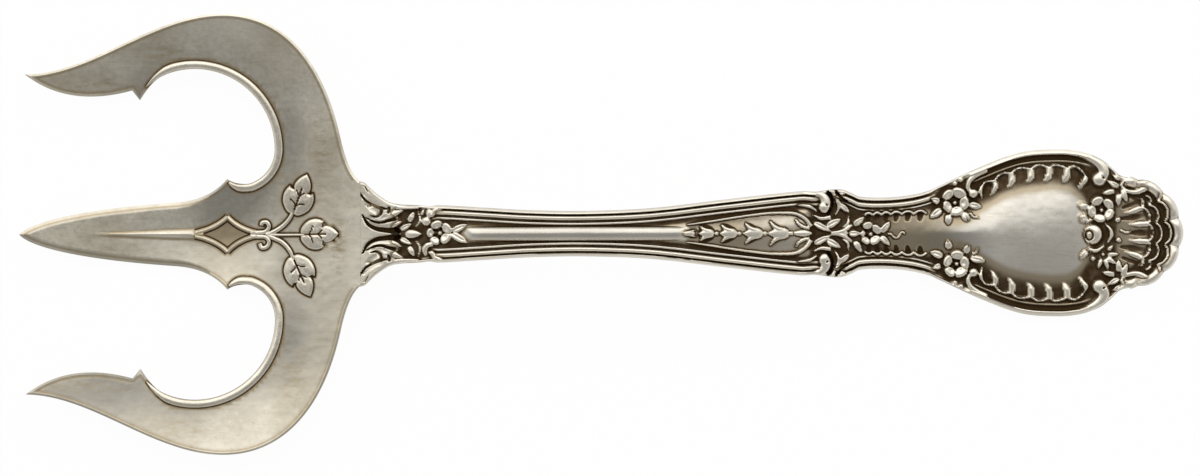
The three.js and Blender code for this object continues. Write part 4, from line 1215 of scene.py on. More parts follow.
# %% Corner rosettes
UPPER_PETALS = [
    (161.4, 6.9, 0.92), (162.3, 5.2, 0.85), (160.95, 3.75, 0.84), (159.35, 4.55, 0.76), (159.45, 6.6, 0.8),
]
UPPER_LEAVES = [
    ((158.0, 5.3), (156.7, 5.9), 0.6), ((158.3, 4.1), (156.4, 2.65), 0.66),
    ((159.5, 3.2), (159.5, 1.25), 0.6), ((162.1, 3.5), (163.2, 1.5), 0.66),
    ((163.2, 4.9), (165.2, 4.5), 0.62),
]
UPPER_TENDRIL = [(163.3, 3.5), (163.9, 2.7), (164.3, 2.75), (164.95, 2.5)]
LOWER_PETALS = [
    (161.05, -3.76, 0.82), (162.35, -5.1, 0.82), (161.7, -6.7, 0.88), (159.8, -6.65, 0.78),
    (159.4, -4.8, 0.78),
]
LOWER_LEAVES = [
    ((159.65, -2.75), (159.35, -0.95), 0.58), ((162.4, -3.4), (163.3, -1.75), 0.58),
    ((163.4, -4.35), (165.9, -4.8), 0.62), ((158.5, -4.0), (156.4, -3.2), 0.66),
    ((158.2, -5.5), (156.9, -6.0), 0.55),
]
LOWER_TENDRIL = [(163.7, -3.6), (164.2, -3.4), (164.5, -2.9), (164.9, -2.4)]
CORNERS = [
    ((160.65, 5.22), UPPER_PETALS, UPPER_LEAVES, UPPER_TENDRIL),
    ((160.93, -5.3), LOWER_PETALS, LOWER_LEAVES, LOWER_TENDRIL),
]
CORNER_LEVEL = FLOOR + 0.05
CORNER_TENDRIL_LEVEL = -0.6
RIM_LEVEL = -1.1
HOOK = [(163.5, 6.9), (162.95, 7.8), (163.2, 9.0), (164.4, 10.0), (166.2, 10.9)]
HOOK_WIDTHS = (0.4, 0.42, 0.46, 0.5, 0.52)
CORNER_BEADS = [(163.85, 6.8, 0.78, 1.0), (161.7, 9.15, 0.42, 0.6), (160.7, 8.5, 0.4, 0.6)]
for centre, petals, corner_leaves, tendril in CORNERS:
    blossom(centre, petals, 0.36, 0.95, CORNER_LEVEL)
    for start, end, half in corner_leaves:
        leaf(start, end, half, 0.9, CORNER_LEVEL)
    scroll(tendril, 0.2, 0.6, CORNER_TENDRIL_LEVEL)
on_both(beads=CORNER_BEADS)
on_both([(HOOK, HOOK_WIDTHS, 0.95)], level=RIM_LEVEL)
print("corner rosettes:", len(CORNERS), "with", len(UPPER_PETALS), "petals each")

# %% Flutes
WAVE_HALF_WIDTH = 0.23
WAVE = [
    [(165.25, 7.9), (165.9, 8.75), (167.5, 8.95)],
    [(167.5, 8.95), (168.2, 9.85), (169.1, 10.3), (170.4, 10.25)],
    [(170.4, 10.25), (171.2, 10.95), (172.2, 11.2), (173.8, 10.95)],
    [(173.8, 10.95), (174.8, 11.65), (175.9, 11.6), (176.95, 11.15)],
    [(176.95, 11.15), (177.9, 11.7), (179.0, 11.5), (180.1, 11.05)],
    [(180.1, 11.05), (181.2, 11.5), (182.3, 10.9), (183.25, 9.75)],
]
RIBS = [
    ([(165.25, 8.0), (165.1, 7.2), (165.4, 5.85)], 0.42),
    ([(167.5, 9.0), (167.6, 7.8), (166.65, 6.05)], 0.5),
    ([(170.45, 10.3), (170.5, 8.9), (169.2, 6.65)], 0.56),
    ([(173.85, 10.95), (173.75, 9.6), (172.55, 7.7)], 0.6),
    ([(177.0, 11.15), (176.8, 9.7), (175.35, 7.8)], 0.62),
    ([(180.1, 11.05), (179.9, 9.7), (178.8, 7.95)], 0.64),
    ([(183.25, 9.75), (183.1, 9.0), (181.8, 7.4)], 0.56),
]
RIB_END = 0.06
RIM_END = [(178.0, 13.8), (181.6, 13.5), (184.3, 12.7), (185.9, 11.5), (186.35, 10.3), (185.6, 9.2)]
RIM_END_WIDTHS = (0.15, 0.45, 0.7, 0.9, 1.0, 1.2)
RIM_BULB = (185.55, 9.2, 1.15, 1.15)
BULB_CUT = ([(186.15, 9.55), (186.35, 9.45)], 0.19, 0.6)
on_both([(wave, WAVE_HALF_WIDTH, 0.9) for wave in WAVE], level=RIM_LEVEL)
on_both([(rib, (0.8 * half, half, RIB_END), 0.95) for rib, half in RIBS])
on_both([(RIM_END, RIM_END_WIDTHS, 1.1)], beads=[RIM_BULB], cut_lines=[BULB_CUT], level=RIM_LEVEL)
print("flutes on each side:", len(WAVE))

# %% [markdown]
# ## Flowers and shell
# A small bunch of flowers lies where the cushion meets the shell: an open flower, a rose, and a flower
# seen from the side. A tied ribbon stands on each side of it. The shell is a fan of hollow rays inside
# scalloped ridges. A scallop could be drawn point by point, but a bow between two cusps says the same.

# %% Bunch of flowers
OPEN_PETALS = [
    (185.23, 5.5, 0.78), (187.15, 5.0, 0.76), (187.25, 3.2, 0.78), (185.63, 2.5, 0.74), (184.3, 3.7, 0.76),
]
ROSE_EYE = [
    (183.8, 0.44), (183.36, 0.2), (183.2, -0.38), (183.36, -0.96), (183.8, -1.2), (184.24, -0.96),
    (184.4, -0.38), (184.24, 0.2), (183.8, 0.44),
]
ROSE_PETALS = [
    ([(186.55, 1.6), (187.5, 0.5), (187.62, -0.5), (186.95, -1.75)], (0.14, 0.34, 0.36, 0.16), 0.85),
    ([(183.7, -2.75), (185.0, -3.05), (186.45, -2.2)], (0.25, 0.42, 0.14), 0.85),
    ([(183.2, 1.55), (183.9, 2.15), (184.6, 2.3)], (0.14, 0.28, 0.12), 0.8),
    ([(189.2, 0.55), (189.8, 0.15), (190.3, 0.05), (191.0, 0.15)], 0.18, 0.5),
]
BUNCH_LEAVES = [
    ((185.9, -4.4), (185.35, -6.2), 0.36), ((186.5, -4.5), (187.1, -6.4), 0.38),
    ((186.9, -4.2), (188.4, -5.4), 0.4), ((187.0, -3.8), (188.9, -3.6), 0.36),
    ((186.95, -3.0), (187.9, -2.2), 0.32), ((183.7, 4.5), (181.9, 4.65), 0.52),
    ((183.5, 2.6), (181.4, 2.2), 0.66), ((183.5, -3.2), (182.1, -4.5), 0.52),
    ((188.3, 2.0), (189.2, 2.5), 0.4), ((188.5, -1.0), (189.3, -1.5), 0.4),
]
blossom((185.95, 3.9), OPEN_PETALS, 0.34, 0.95)
for line, widths, rise in ROSE_PETALS:
    scroll(line, widths, rise)
lay(bead_tool, 184.45, -0.25, 0, 1.52, 1.6, 1.1)
cut(ROSE_EYE, 0.22, 0.6)
for start, end, half in BUNCH_LEAVES:
    leaf(start, end, half, 0.85)
bead(186.2, -3.7, 0.3, 0.7)
bead(184.5, -4.4, 0.4, 0.7)
print("leaves of the bunch:", len(BUNCH_LEAVES))

# %% Ribbons
RIBBON_BLADES = [
    ((188.9, 7.9), (187.0, 8.9), 0.5, 0.9), ((188.2, 7.2), (186.1, 6.8), 0.48, 0.9),
    ((188.9, 6.7), (188.8, 4.6), 0.5, 0.9), ((189.5, 7.5), (190.3, 5.3), 0.5, 0.9),
    ((189.2, 9.2), (187.9, 9.9), 0.42, 0.9),
]
RIBBON_LOOPS = [
    ([(189.2, 8.1), (189.9, 8.95), (191.2, 9.5), (192.6, 9.4), (194.0, 8.75)],
     (0.25, 0.25, 0.3, 0.4, 0.4), 0.95),
    ([(189.3, 8.0), (190.4, 7.2), (191.9, 7.0), (193.2, 7.5), (194.3, 8.3)],
     (0.25, 0.36, 0.5, 0.6, 0.4), 0.95),
    ([(189.9, 8.2), (191.4, 8.95)], (0.14, 0.18), 0.95),
]
on_both(RIBBON_LOOPS, RIBBON_BLADES)
for side in (1, -1):
    lay(bead_tool, 193.1, side * 8.45, side * -20, 0.9, 0.75, 0.9)
print("loops and tails of each ribbon:", len(RIBBON_LOOPS) + len(RIBBON_BLADES))

# %% Shell
INNER_CUSPS = [(192.5, 6.0), (192.9, 4.35), (194.05, 1.55), (194.05, -1.45), (192.9, -4.3), (192.5, -5.8)]
MIDDLE_CUSPS = [(193.6, 6.4), (194.05, 4.8), (195.3, 1.7), (195.3, -1.9), (194.05, -4.8), (193.6, -6.3)]
OUTER_CUSPS = [(194.8, 7.5), (195.6, 5.4), (196.8, 1.9), (196.8, -2.0), (195.5, -5.45), (194.75, -7.4)]
RIDGES = [(INNER_CUSPS, 0.75, 0.2, 0.75), (MIDDLE_CUSPS, 1.0, 0.22, 0.8), (OUTER_CUSPS, 1.1, 0.24, 0.88)]
FULL_SPAN = 3.0
RAY_RIBS = [[(189.9, 3.3), (191.4, 3.75), (192.8, 4.3)], [(190.6, 1.35), (192.4, 1.45), (194.0, 1.55)]]
RAY_RIB_WIDTHS = (0.2, 0.5, 0.5)
RAYS = [
    ([(189.4, 2.45), (191.2, 2.6), (193.0, 2.95)], (0.3, 0.55, 0.5)),
    ([(190.9, 0.0), (192.4, 0.0), (194.0, 0.0)], (0.3, 0.6, 0.6)),
    ([(189.6, 4.3), (190.9, 4.8), (192.2, 5.2)], (0.25, 0.4, 0.4)),
]
RAY_DEPTHS = (0.3, 0.22, 0.06)
for cusps, bulge, half, rise in RIDGES:
    for a, b in zip(cusps, cusps[1:]):
        span = math.hypot(b[0] - a[0], b[1] - a[1])
        out = np.array([a[1] - b[1], b[0] - a[0]]) / span * bulge * min(1, span / FULL_SPAN)
        bow = np.linspace(a, b, 7) + np.sin(np.linspace(0, math.pi, 7))[:, None] ** 0.6 * out
        scroll(bow, half, rise)
ray_ribs = [(rib, RAY_RIB_WIDTHS, 0.46) for rib in RAY_RIBS]
on_both(ray_ribs, cut_lines=[(line, widths, RAY_DEPTHS) for line, widths in RAYS])
print("tools for the relief:", len(relief), "and cuts:", len(cuts))

# %% [markdown]
# ## The blow
# All the tools are joined and the blank is struck: from above each point of the face a ray looks down,
# and where it meets a tool the silver rises to it. A light smoothing then rounds what the grid leaves
# sharp, as years of polishing do, and the cuts are sunk. A boolean union would keep every undercut of the
# tools, which no die can leave. The tools are removed, because the handle is one piece of metal.

# %% Strike
die = joined("die", relief)
for tool in (bead_tool, petal_tool, leaf_tool, bud_tool):
    bpy.data.objects.remove(tool)
die_faces = [tuple(face.vertices) for face in die.data.polygons]
die_tree = BVHTree.FromPolygons([tuple(point) for point in mesh_points(die)], die_faces)
bpy.data.objects.remove(die)
DOWN = Vector((0, 0, -1))
HIGH = 0.05
OWN_SHARE = 0.6
NEIGHBOUR_SHARE = 0.1
struck = rings.copy()
raised = 0
for i in range(len(rows)):
    line = to_frame(struck[i, : FACE_COLUMNS + 1])
    for j in range(2, FACE_COLUMNS - 1):
        hit = die_tree.ray_cast(Vector((line[j, 0], line[j, 1], HIGH)), DOWN)[0]
        if hit is not None and hit.z / MM > struck[i, j, 2]:
            struck[i, j, 2] = hit.z / MM
            raised += 1
face_z = struck[:, : FACE_COLUMNS + 1, 2]
lift = face_z - rings[:, : FACE_COLUMNS + 1, 2]
beside = face_z[:-2, 1:-1] + face_z[2:, 1:-1] + face_z[1:-1, :-2] + face_z[1:-1, 2:]
face_z[1:-1, 1:-1] = OWN_SHARE * face_z[1:-1, 1:-1] + NEIGHBOUR_SHARE * beside
print("struck points:", raised, "of", len(handle.data.vertices))

# %% Sinking the cuts
def cut_depth(path, width, depth):
    """How deep one cut goes at each point of the face."""
    plan = struck[:, : FACE_COLUMNS + 1, :2]
    low, high = path.min(0) - width.max(), path.max(0) + width.max()
    near = np.all((plan > low) & (plan < high), axis=2)
    near[:, :2] = False
    near[:, -2:] = False
    gaps = np.linalg.norm(plan[near][:, None] - path[None], axis=2) / width
    nearest = gaps.argmin(1)
    share = np.clip(1 - gaps.min(1) ** 2, 0, 1)
    deep = np.zeros(near.shape)
    deep[near] = depth[nearest] * share**0.7
    return deep


face_z -= np.maximum.reduce([cut_depth(*line) for line in cuts])
struck[:, -1] = struck[:, 0]
set_points(handle, to_frame(struck[row_of, column_of]))
print("cuts:", len(cuts))

# %% [markdown]
# ## Where the dark lies
# Old silver keeps a brown-black skin wherever the polishing cloth can't reach. A cloth bridges from high
# point to high point and sags a little between them, so a point is dark when it lies well below the
# highest line that a sagging cloth could take over it. A painted shadow lies at the foot of every ornament,
# a thin brown film stays on the sunken grounds, and a painted grey shade dims the keel and the fillet. An
# ambient occlusion node could guess at this, but only in a render, so the shares are worked out once and go
# on the meshes as attributes, which the finish reads.

# %% A cloth over the relief, and painted shadow beside it
CLOTH_ROWS = 7
CLOTH_COLUMNS = 18
DARK_FROM = 0.18
FOOT_REACH = 0.5


def along(*pairs):
    """A value that changes along the handle, with one for each row."""
    return through(pairs)(rows)[:, None]


def shifted(step, count):
    """Slices of a row of points and of the points that lie a step further on."""
    return slice(max(0, -step), count - max(0, step)), slice(max(0, step), count + min(0, step))


cloth_slope = along((0, 0.4), (50, 0.4), (56, 0.55), (76, 0.55), (80, 0.4), (END_S, 0.4))
dark_to = along((0, 0.66), (50, 0.66), (56, 0.42), (76, 0.42), (80, 0.66), (END_S, 0.66))
face_points = struck[:, : FACE_COLUMNS + 1]
level = face_points[:, :, 2] - crown(face_points[:, :, 0])
tool_share = smooth(lift, 0.06, 0.2)
cloth = level.copy()
foot = np.zeros(level.shape)
for row_step in range(-CLOTH_ROWS, CLOTH_ROWS + 1):
    for column_step in range(-CLOTH_COLUMNS, CLOTH_COLUMNS + 1, 2):
        near_rows, far_rows = shifted(row_step, len(rows))
        near_columns, far_columns = shifted(column_step, FACE_COLUMNS + 1)
        near = face_points[near_rows, near_columns]
        far = face_points[far_rows, far_columns]
        gap = np.hypot(far[:, :, 0] - near[:, :, 0], far[:, :, 1] - near[:, :, 1])
        held = level[far_rows, far_columns] - cloth_slope[near_rows] * gap
        cloth[near_rows, near_columns] = np.maximum(cloth[near_rows, near_columns], held)
        # Painted shadow: the ground close beside a raised ornament is darkened, fading out within FOOT_REACH
        nearby_shadow = tool_share[far_rows, far_columns] * np.clip(1.2 - gap / FOOT_REACH, 0, 1)
        foot[near_rows, near_columns] = np.maximum(foot[near_rows, near_columns], nearby_shadow)
covered = np.clip((cloth - level - DARK_FROM) / (dark_to - DARK_FROM), 0, 1)
print("share of the face that the cloth leaves dark:", round(float((covered > 0.5).mean()), 3))

# %% Dark, painted shade and polish of the handle
SUNKEN_DARK = 0.66
FLUTE_DARK = 0.66
FLUTE_ENDS = ((98, 103), (125, 127))
brown_ground = along(
    (0, 0), (54, 0), (59, 0.2), (64, 0.3), (68, 0.21), (76, 0.18), (78, 0.36), (87, 0.46), (90.5, 0.24),
    (99, 0.17), (106, 0), (END_S, 0),
)
plain_reach = along(
    (98, 1.6), (103, 1.7), (107, 4.0), (111, 6.2), (115, 7.2), (121, 7.5), (123.5, 6.0), (126, 2.3),
)
foot_strength = along((0, 0.7), (54, 0.7), (58, 0.95), (END_S, 0.95))
# Painted grey shade, strongest on the keel of the waist and weaker on the fillet of the shaft
keel_shade = along(
    (0, 0), (16, 0), (20, 0.35), (54, 0.35), (58, 0), (87, 0), (92, 1.0), (99, 1.0), (104, 0.55),
    (110, 0), (END_S, 0),
)
off_axis = np.abs(face_points[:, :, 1])
from_edge = plan_half_width(rows)[:, None] - off_axis
bare = 1 - smooth(lift, 0.05, 0.25)
inside_threads = smooth(from_edge, 2.4, 2.8)
sunken = SUNKEN_DARK * smooth(-level, 0.62, 0.95) * smooth(from_edge, 0.5, 0.9)
brown_film = brown_ground * bare * inside_threads
in_flutes = FLUTE_DARK * within(rows, FLUTE_ENDS)[:, None] * smooth(off_axis - plain_reach, -1.6, 2.2)
flute_film = in_flutes * bare * smooth(from_edge, 2.2, 2.6)
# Painted shadow at the foot of each ornament
painted_foot_shadow = foot_strength * foot * (1 - tool_share) * smooth(from_edge, 0.6, 1.0)
moulding = smooth(level, -0.6, -0.35) * (1 - smooth(from_edge, 2.4, 2.7)) * smooth(rows, 10, 14)[:, None]
face_shares = {
    "dark": np.maximum.reduce([covered, sunken, brown_film, flute_film, painted_foot_shadow]),
    # The grey share is painted shade along the keel
    "tarnish": keel_shade * (1 - tool_share) * inside_threads,
    "raised": np.maximum(smooth(lift, 0.1, 0.35), moulding),
}


def set_attribute(piece, name, values):
    attribute = piece.data.attributes.new(name, "FLOAT", "POINT")
    attribute.data.foreach_set("value", np.asarray(values, np.float32).ravel())


for name, shares in face_shares.items():
    ring_shares = np.zeros(rings.shape[:2])
    ring_shares[:, : FACE_COLUMNS + 1] = shares
    set_attribute(handle, name, ring_shares[row_of, column_of])
set_attribute(handle, "satin", (1 - smooth(rows, 1, 9))[row_of])
print("mean dark of the handle's face:", round(float(face_shares["dark"].mean()), 3))

# %% Closing the handle
in_edit_mode(handle)
bpy.ops.mesh.remove_doubles(threshold=1e-7)
bpy.ops.mesh.select_all(action="SELECT")
bpy.ops.mesh.fill_holes(sides=0)
bpy.ops.object.mode_set(mode="OBJECT")
finish_shading(handle, 75)
print("the handle has", len(handle.data.polygons), "faces")

# %% [markdown]
# On the head the dark lies close beside the wires and leaves, in the veins and in the fine line inside
# the bevel, and a painted shade lies along the midrib. The plain silver has a painted grey shade round the
# arches and in patches, for its darker reflections, and brown stains here and there. They could be painted
# by hand, but a few soft spots in a table are easier to move.

# %% Crevices beside the laid silver
CREVICES = [(wires, 0.5, 0.8), ([stem, *leaves], 0.42, 1.0), ([diamond], 0.42, 0.5)]
laid_pieces = [*wires, diamond, stem, *leaves]


def tree_of(pieces):
    points = []
    faces = []
    for piece in pieces:
        start = len(points)
        points += [vertex.co.copy() for vertex in piece.data.vertices]
        faces += [[start + i for i in face.vertices] for face in piece.data.polygons]
    return BVHTree.FromPolygons(points, faces)


beside_laid = np.zeros(len(head.data.vertices))
for pieces, crevice, strength in CREVICES:
    laid_tree = tree_of(pieces)
    for i, vertex in enumerate(head.data.vertices):
        distance = laid_tree.find_nearest(vertex.co, crevice * MM)[3]
        if vertex.normal.z > 0 and distance is not None:
            beside_laid[i] = max(beside_laid[i], strength * (1 - distance / MM / crevice))
print("dark points beside the laid silver:", int((beside_laid > 0.3).sum()))

# %% Dark of the head
RIB_SHADE = 0.34
LINE_DARK = 0.3
OPENING_DARK = 0.3
OPENING = (4.2, 2.7)


def from_tip(piece):
    """Points of a piece in millimetres from the tine tip."""
    return mesh_points(piece) / MM + (OVERALL / 2, 0, 0)


head_points = from_tip(head)
head_x, off_axis = head_points[:, 0], np.abs(head_points[:, 1])
on_face = np.array([vertex.normal.z > 0 for vertex in head.data.vertices])
in_opening = np.abs(head_x - DIAMOND_X) / OPENING[0] + off_axis / OPENING[1] < 1
along_rib = smooth(head_x, MIDRIB_START, MIDRIB_START + 5) * (head_x < MIDRIB_END)
# Painted shade: a dark line along each flank of the midrib
rib_shade = RIB_SHADE * along_rib * np.exp(-(((off_axis - midrib_reach(head_x) - 0.05) / 0.26) ** 2))
from_edge = edge_distance(head_points[:, :2], head_outline)
edge_line = LINE_DARK * np.exp(-(((from_edge - LINE_INSET) / 0.2) ** 2)) * (head_x < SEAM_X - 1)
face_dark = np.maximum.reduce([beside_laid, OPENING_DARK * in_opening, rib_shade, edge_line])
set_attribute(head, "dark", face_dark * on_face)
print("mean dark of the head's face:", round(float(face_dark[on_face].mean()), 3))

# %% Stains and painted shade of the head
# Each spot: its place, its half length and half width, its strength
STAINS = [
    (54.5, -1.5, 1.8, 5, 1.0), (14, 25.6, 8, 1.8, 0.6), (26, 31, 7, 3, 0.6), (13, -25.5, 9, 2.2, 0.6),
    (50, 6, 3, 3, 0.6), (52, 14, 2, 7, 0.7), (45.5, 9, 3, 3, 0.6), (47, -24, 3, 8, 0.5),
    (30, -33, 8, 2, 0.5),
]
# Painted shade: grey patches for the darker reflections of the plain silver, in the same columns
PAINTED_SHADE_SPOTS = [
    (17, -26.0, 14, 6, 1.0), (36, 4, 8, 4, 0.6), (26, 2.5, 9, 2, 0.35), (50, -20, 5, 11, 0.35),
    (46.5, -17, 4, 8, 0.9), (46, 16, 3.5, 9, 0.85),
]
# The painted shade is left off this spot, so the lower arm keeps its bright reflection
ARM_REFLECTION = (41, -31, 9, 4.5, 1.0)
BACK_STAIN = 0.3
ARCH_SHADE = 0.85
ARCH_SHADE_REACH = 3.6


def spots(table):
    """The strongest of several soft oval spots at each point of the head."""
    strongest = np.zeros(len(head_points))
    for x, y, length, width, strength in table:
        reach = ((head_points[:, 0] - x) / length) ** 2 + ((head_points[:, 1] - y) / width) ** 2
        strongest = np.maximum(strongest, strength * np.exp(-reach))
    return strongest


stain = spots(STAINS)
set_attribute(head, "stain", np.where(on_face, stain, BACK_STAIN * stain))
from_arch = np.hypot(head_x - EYE[0], off_axis - EYE[1]) - ARCH_RADIUS
below = -head_points[:, 1]
lower_heel = smooth(below, 0, 1.5) * (1 - smooth(below, 9.5, 12)) * (1 - smooth(head_x, 42.5, 46))
# Painted grey shade beside each arch, fading away from it, and none on the spear or the lower heel
beside_arch = ARCH_SHADE * np.exp(-np.maximum(from_arch, 0) / ARCH_SHADE_REACH)
plain_share = (1 - spear_share(head_x, off_axis)) * (1 - lower_heel)
tarnish = np.maximum(beside_arch * plain_share, spots(PAINTED_SHADE_SPOTS))
set_attribute(head, "tarnish", tarnish * (1 - spots([ARM_REFLECTION])) * on_face)
print("stains:", len(STAINS), "and shaded places:", len(PAINTED_SHADE_SPOTS))

# %% Dark of the laid silver
for piece in laid_pieces:
    x, y, z = from_tip(piece).T
    low = 1 - smooth(z - head_top(x, y), 0.02, 0.2)
    if piece.name in leaf_cuts:
        low = np.maximum(low, smooth(leaf_cuts[piece.name](x, y), 0.25, 0.8))
    set_attribute(piece, "dark", low)
print("laid pieces with dark feet:", len(laid_pieces))

# %% [markdown]
# ## Finishes
# All the silver is one metal, sterling, in three states: satin on the head, from wear and fine scratches,
# brighter on the handle, where the dark skin in the recesses sets it off, and rubbed on the laid work.
# Colours are written as sRGB hex values, and patterns are sized in millimetres. Real scratches and specks
# are finer than a pixel of the picture, so they are drawn as coarse as they need to be to show. Each silver
# could have a material of its own, but they only differ in tone, in gloss and in how soon the brown turns
# black, so one function makes all three.

# %% Helpers for finishes
def linear(code):
    """An sRGB hex colour as linear values."""
    parts = [int(code[i : i + 2], 16) / 255 for i in (1, 3, 5)]
    return tuple(p / 12.92 if p <= 0.04045 else ((p + 0.055) / 1.055) ** 2.4 for p in parts) + (1.0,)


def add(tree, kind, inputs=None, **settings):
    """Adds a node with its settings. An input is a value, a socket, or a node with its first output."""
    made = tree.nodes.new(kind)
    for name, value in settings.items():
        setattr(made, name, value)
    for name, value in (inputs or {}).items():
        if isinstance(value, bpy.types.Node):
            value = next(socket for socket in value.outputs if socket.enabled)
        if isinstance(value, bpy.types.NodeSocket):
            tree.links.new(value, made.inputs[name])
        else:
            made.inputs[name].default_value = value
    return made


def new_material(name):
    material = bpy.data.materials.new(name)
    material.use_nodes = True
    material.node_tree.nodes.clear()
    return material


# %% One silver with its wear
SATIN_TONES = ("#D4CDBD", "#BFB7A5")
SATIN_ROUGHNESS = 0.38
RAISED_TONE = "#DDD6C8"
RAISED_ROUGHNESS = 0.33
DARK_ROUGHNESS = 0.6
BROWN_COVER = 0.75
BLACK_SPAN = 0.42
PATINA_SHADE_LEAST = 0.85
PATINA_SHADE_UNEVENNESS = 0.3
DENT_DEPTH = 0.14 * MM
GRAIN_DEPTH = 0.05 * MM
GRAIN_STRENGTH = 0.1
BROWN = "#9A8868"
BLACK = "#3F2F1C"
# Grey of the painted shade
SHADE_GREY = "#9B978E"
SHARES = ("satin", "raised", "tarnish", "stain", "dark")
# Each pattern: turn, stretch, size in mm, detail, roughness, where it starts and ends, strength
PATTERNS = {
    "clouds": (0.0, (1.0, 1.0), 16.0, 6.0, 0.65, (0.38, 0.64), 1.0),
    "scratches": (-0.2, (0.3, 4.0), 1.6, 5.0, 0.7, (0.5, 0.75), 0.3),
    "streaks": (0.5, (1.0, 7.0), 2.2, 6.0, 0.7, (0.55, 0.78), 0.36),
    "specks": (0.0, (1.0, 1.0), 0.9, 2.0, 0.55, (0.7, 0.8), 0.36),
    "flecks": (-0.15, (0.5, 1.6), 1.3, 7.0, 0.75, (0.4, 0.66), 1.0),
    "patches": (0.0, (1.0, 1.0), 1.4, 3.0, 0.55, None, 1.0),
    "grain": (0.0, (1.0, 1.0), 0.7, 6.0, 0.55, None, 1.0),
    "dents": (0.0, (1.0, 1.0), 5.0, 2.0, 0.55, None, 1.0),
}


def silver_patterns(tree):
    """The patterns of wear, each as a node that gives its strength."""
    coords = add(tree, "ShaderNodeTexCoord").outputs["Object"]
    made = {}
    for name, (turn, stretch, size, detail, roughness, ends, strength) in PATTERNS.items():
        placing = {"Vector": coords, "Rotation": (0, 0, turn), "Scale": (*stretch, 1.0)}
        place = add(tree, "ShaderNodeMapping", placing)
        look = {"Vector": place, "Scale": 1 / (size * MM), "Detail": detail, "Roughness": roughness}
        made[name] = add(tree, "ShaderNodeTexNoise", look)
        if ends:
            span = {"Value": made[name], "From Min": ends[0], "From Max": ends[1], "To Max": strength}
            made[name] = add(tree, "ShaderNodeMapRange", span, interpolation_type="SMOOTHSTEP")
    return made


def silver_finish(name, tones, roughness, black_from):
    """Sterling with its wear: two cloudy tones, painted grey shade, marks, and patina and painted shade
    going brown, then black.
    """
    material = new_material(name)
    tree = material.node_tree
    wear = silver_patterns(tree)
    share = {kind: add(tree, "ShaderNodeAttribute", attribute_name=kind).outputs["Fac"] for kind in SHARES}
    marks = add(tree, "ShaderNodeMath", {0: share["stain"], 1: wear["flecks"]}, operation="MULTIPLY")
    for kind in ("streaks", "specks", "scratches"):
        marks = add(tree, "ShaderNodeMath", {0: marks, 1: wear[kind]}, operation="MAXIMUM")
    patchy = {0: wear["patches"], 1: PATINA_SHADE_UNEVENNESS, 2: PATINA_SHADE_LEAST}
    uneven = add(tree, "ShaderNodeMath", patchy, operation="MULTIPLY_ADD")
    # The dark share holds patina in the recesses and painted shade, and turns brown, then black
    patina_and_shade = add(tree, "ShaderNodeMath", {0: share["dark"], 1: uneven}, operation="MULTIPLY")
    span = {"Value": patina_and_shade, "From Min": 0.0, "From Max": black_from, "To Max": BROWN_COVER}
    brown_share = add(tree, "ShaderNodeMapRange", span, interpolation_type="SMOOTHSTEP")
    span = {"Value": patina_and_shade, "From Min": black_from, "From Max": black_from + BLACK_SPAN}
    black_share = add(tree, "ShaderNodeMapRange", span, interpolation_type="SMOOTHSTEP")
    cloudy = []
    for light, deep in (tones, SATIN_TONES):
        span = {"Factor": wear["clouds"], "A": linear(deep), "B": linear(light)}
        cloudy.append(add(tree, "ShaderNodeMix", span, data_type="RGBA"))
    tone, satin_tone = cloudy
    layers = [
        (share["raised"], linear(RAISED_TONE)), (share["satin"], satin_tone),
        # The grey layer is painted shade
        (share["tarnish"], linear(SHADE_GREY)), (marks, linear(BROWN)),
        (brown_share, linear(BROWN)), (black_share, linear(BLACK)),
    ]
    for layer, colour in layers:
        tone = add(tree, "ShaderNodeMix", {"Factor": layer, "A": tone, "B": colour}, data_type="RGBA")
    least, most = roughness
    span = {"Value": wear["grain"], "From Min": 0.3, "From Max": 0.7, "To Min": least, "To Max": most}
    rough = add(tree, "ShaderNodeMapRange", span, interpolation_type="SMOOTHSTEP")
    layers = [
        (share["raised"], RAISED_ROUGHNESS), (share["satin"], SATIN_ROUGHNESS),
        (black_share, DARK_ROUGHNESS),
    ]
    for layer, value in layers:
        rough = add(tree, "ShaderNodeMix", {"Factor": layer, "A": rough, "B": value}, data_type="FLOAT")
    soft = {"Height": wear["dents"], "Strength": 1.0, "Distance": DENT_DEPTH}
    dents = add(tree, "ShaderNodeBump", soft)
    fine = {"Height": wear["grain"], "Strength": GRAIN_STRENGTH, "Distance": GRAIN_DEPTH, "Normal": dents}
    bump = add(tree, "ShaderNodeBump", fine)
    look = {"Base Color": tone, "Metallic": 1.0, "Roughness": rough, "Normal": bump}
    shader = add(tree, "ShaderNodeBsdfPrincipled", look)
    add(tree, "ShaderNodeOutputMaterial", {"Surface": shader})
    return material


# %% Silver of the head, of the handle and of the seam
# Worn satin: fine scratches scatter the light, so the head gleams softly and mirrors nothing.
satin = silver_finish("satin_sterling", SATIN_TONES, (0.32, 0.42), 0.3)
# Struck and polished: the relief is smooth, so small sharp lights sit beside black recesses.
struck_silver = silver_finish("struck_sterling", ("#E2DDD2", "#D3CDC1"), (0.27, 0.31), 0.3)
# Laid on and rubbed: bright on top and dark at the foot, so wires and leaves stand out from the plate.
laid = silver_finish("laid_sterling", ("#DDD6C7", "#CCC4B3"), (0.24, 0.34), 0.35)


def dress(piece, material):
    piece.data.materials.clear()
    piece.data.materials.append(material)
    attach(piece, "root")


dress(head, satin)
dress(tongue, satin)
dress(handle, struck_silver)
for piece in laid_pieces:
    dress(piece, laid)
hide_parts("fork_head")
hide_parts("handle")
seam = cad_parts["solder_seam"]
seam.data.materials.clear()
seam.data.materials.append(satin)
print("silvers:", [material.name for material in (satin, struck_silver, laid)])

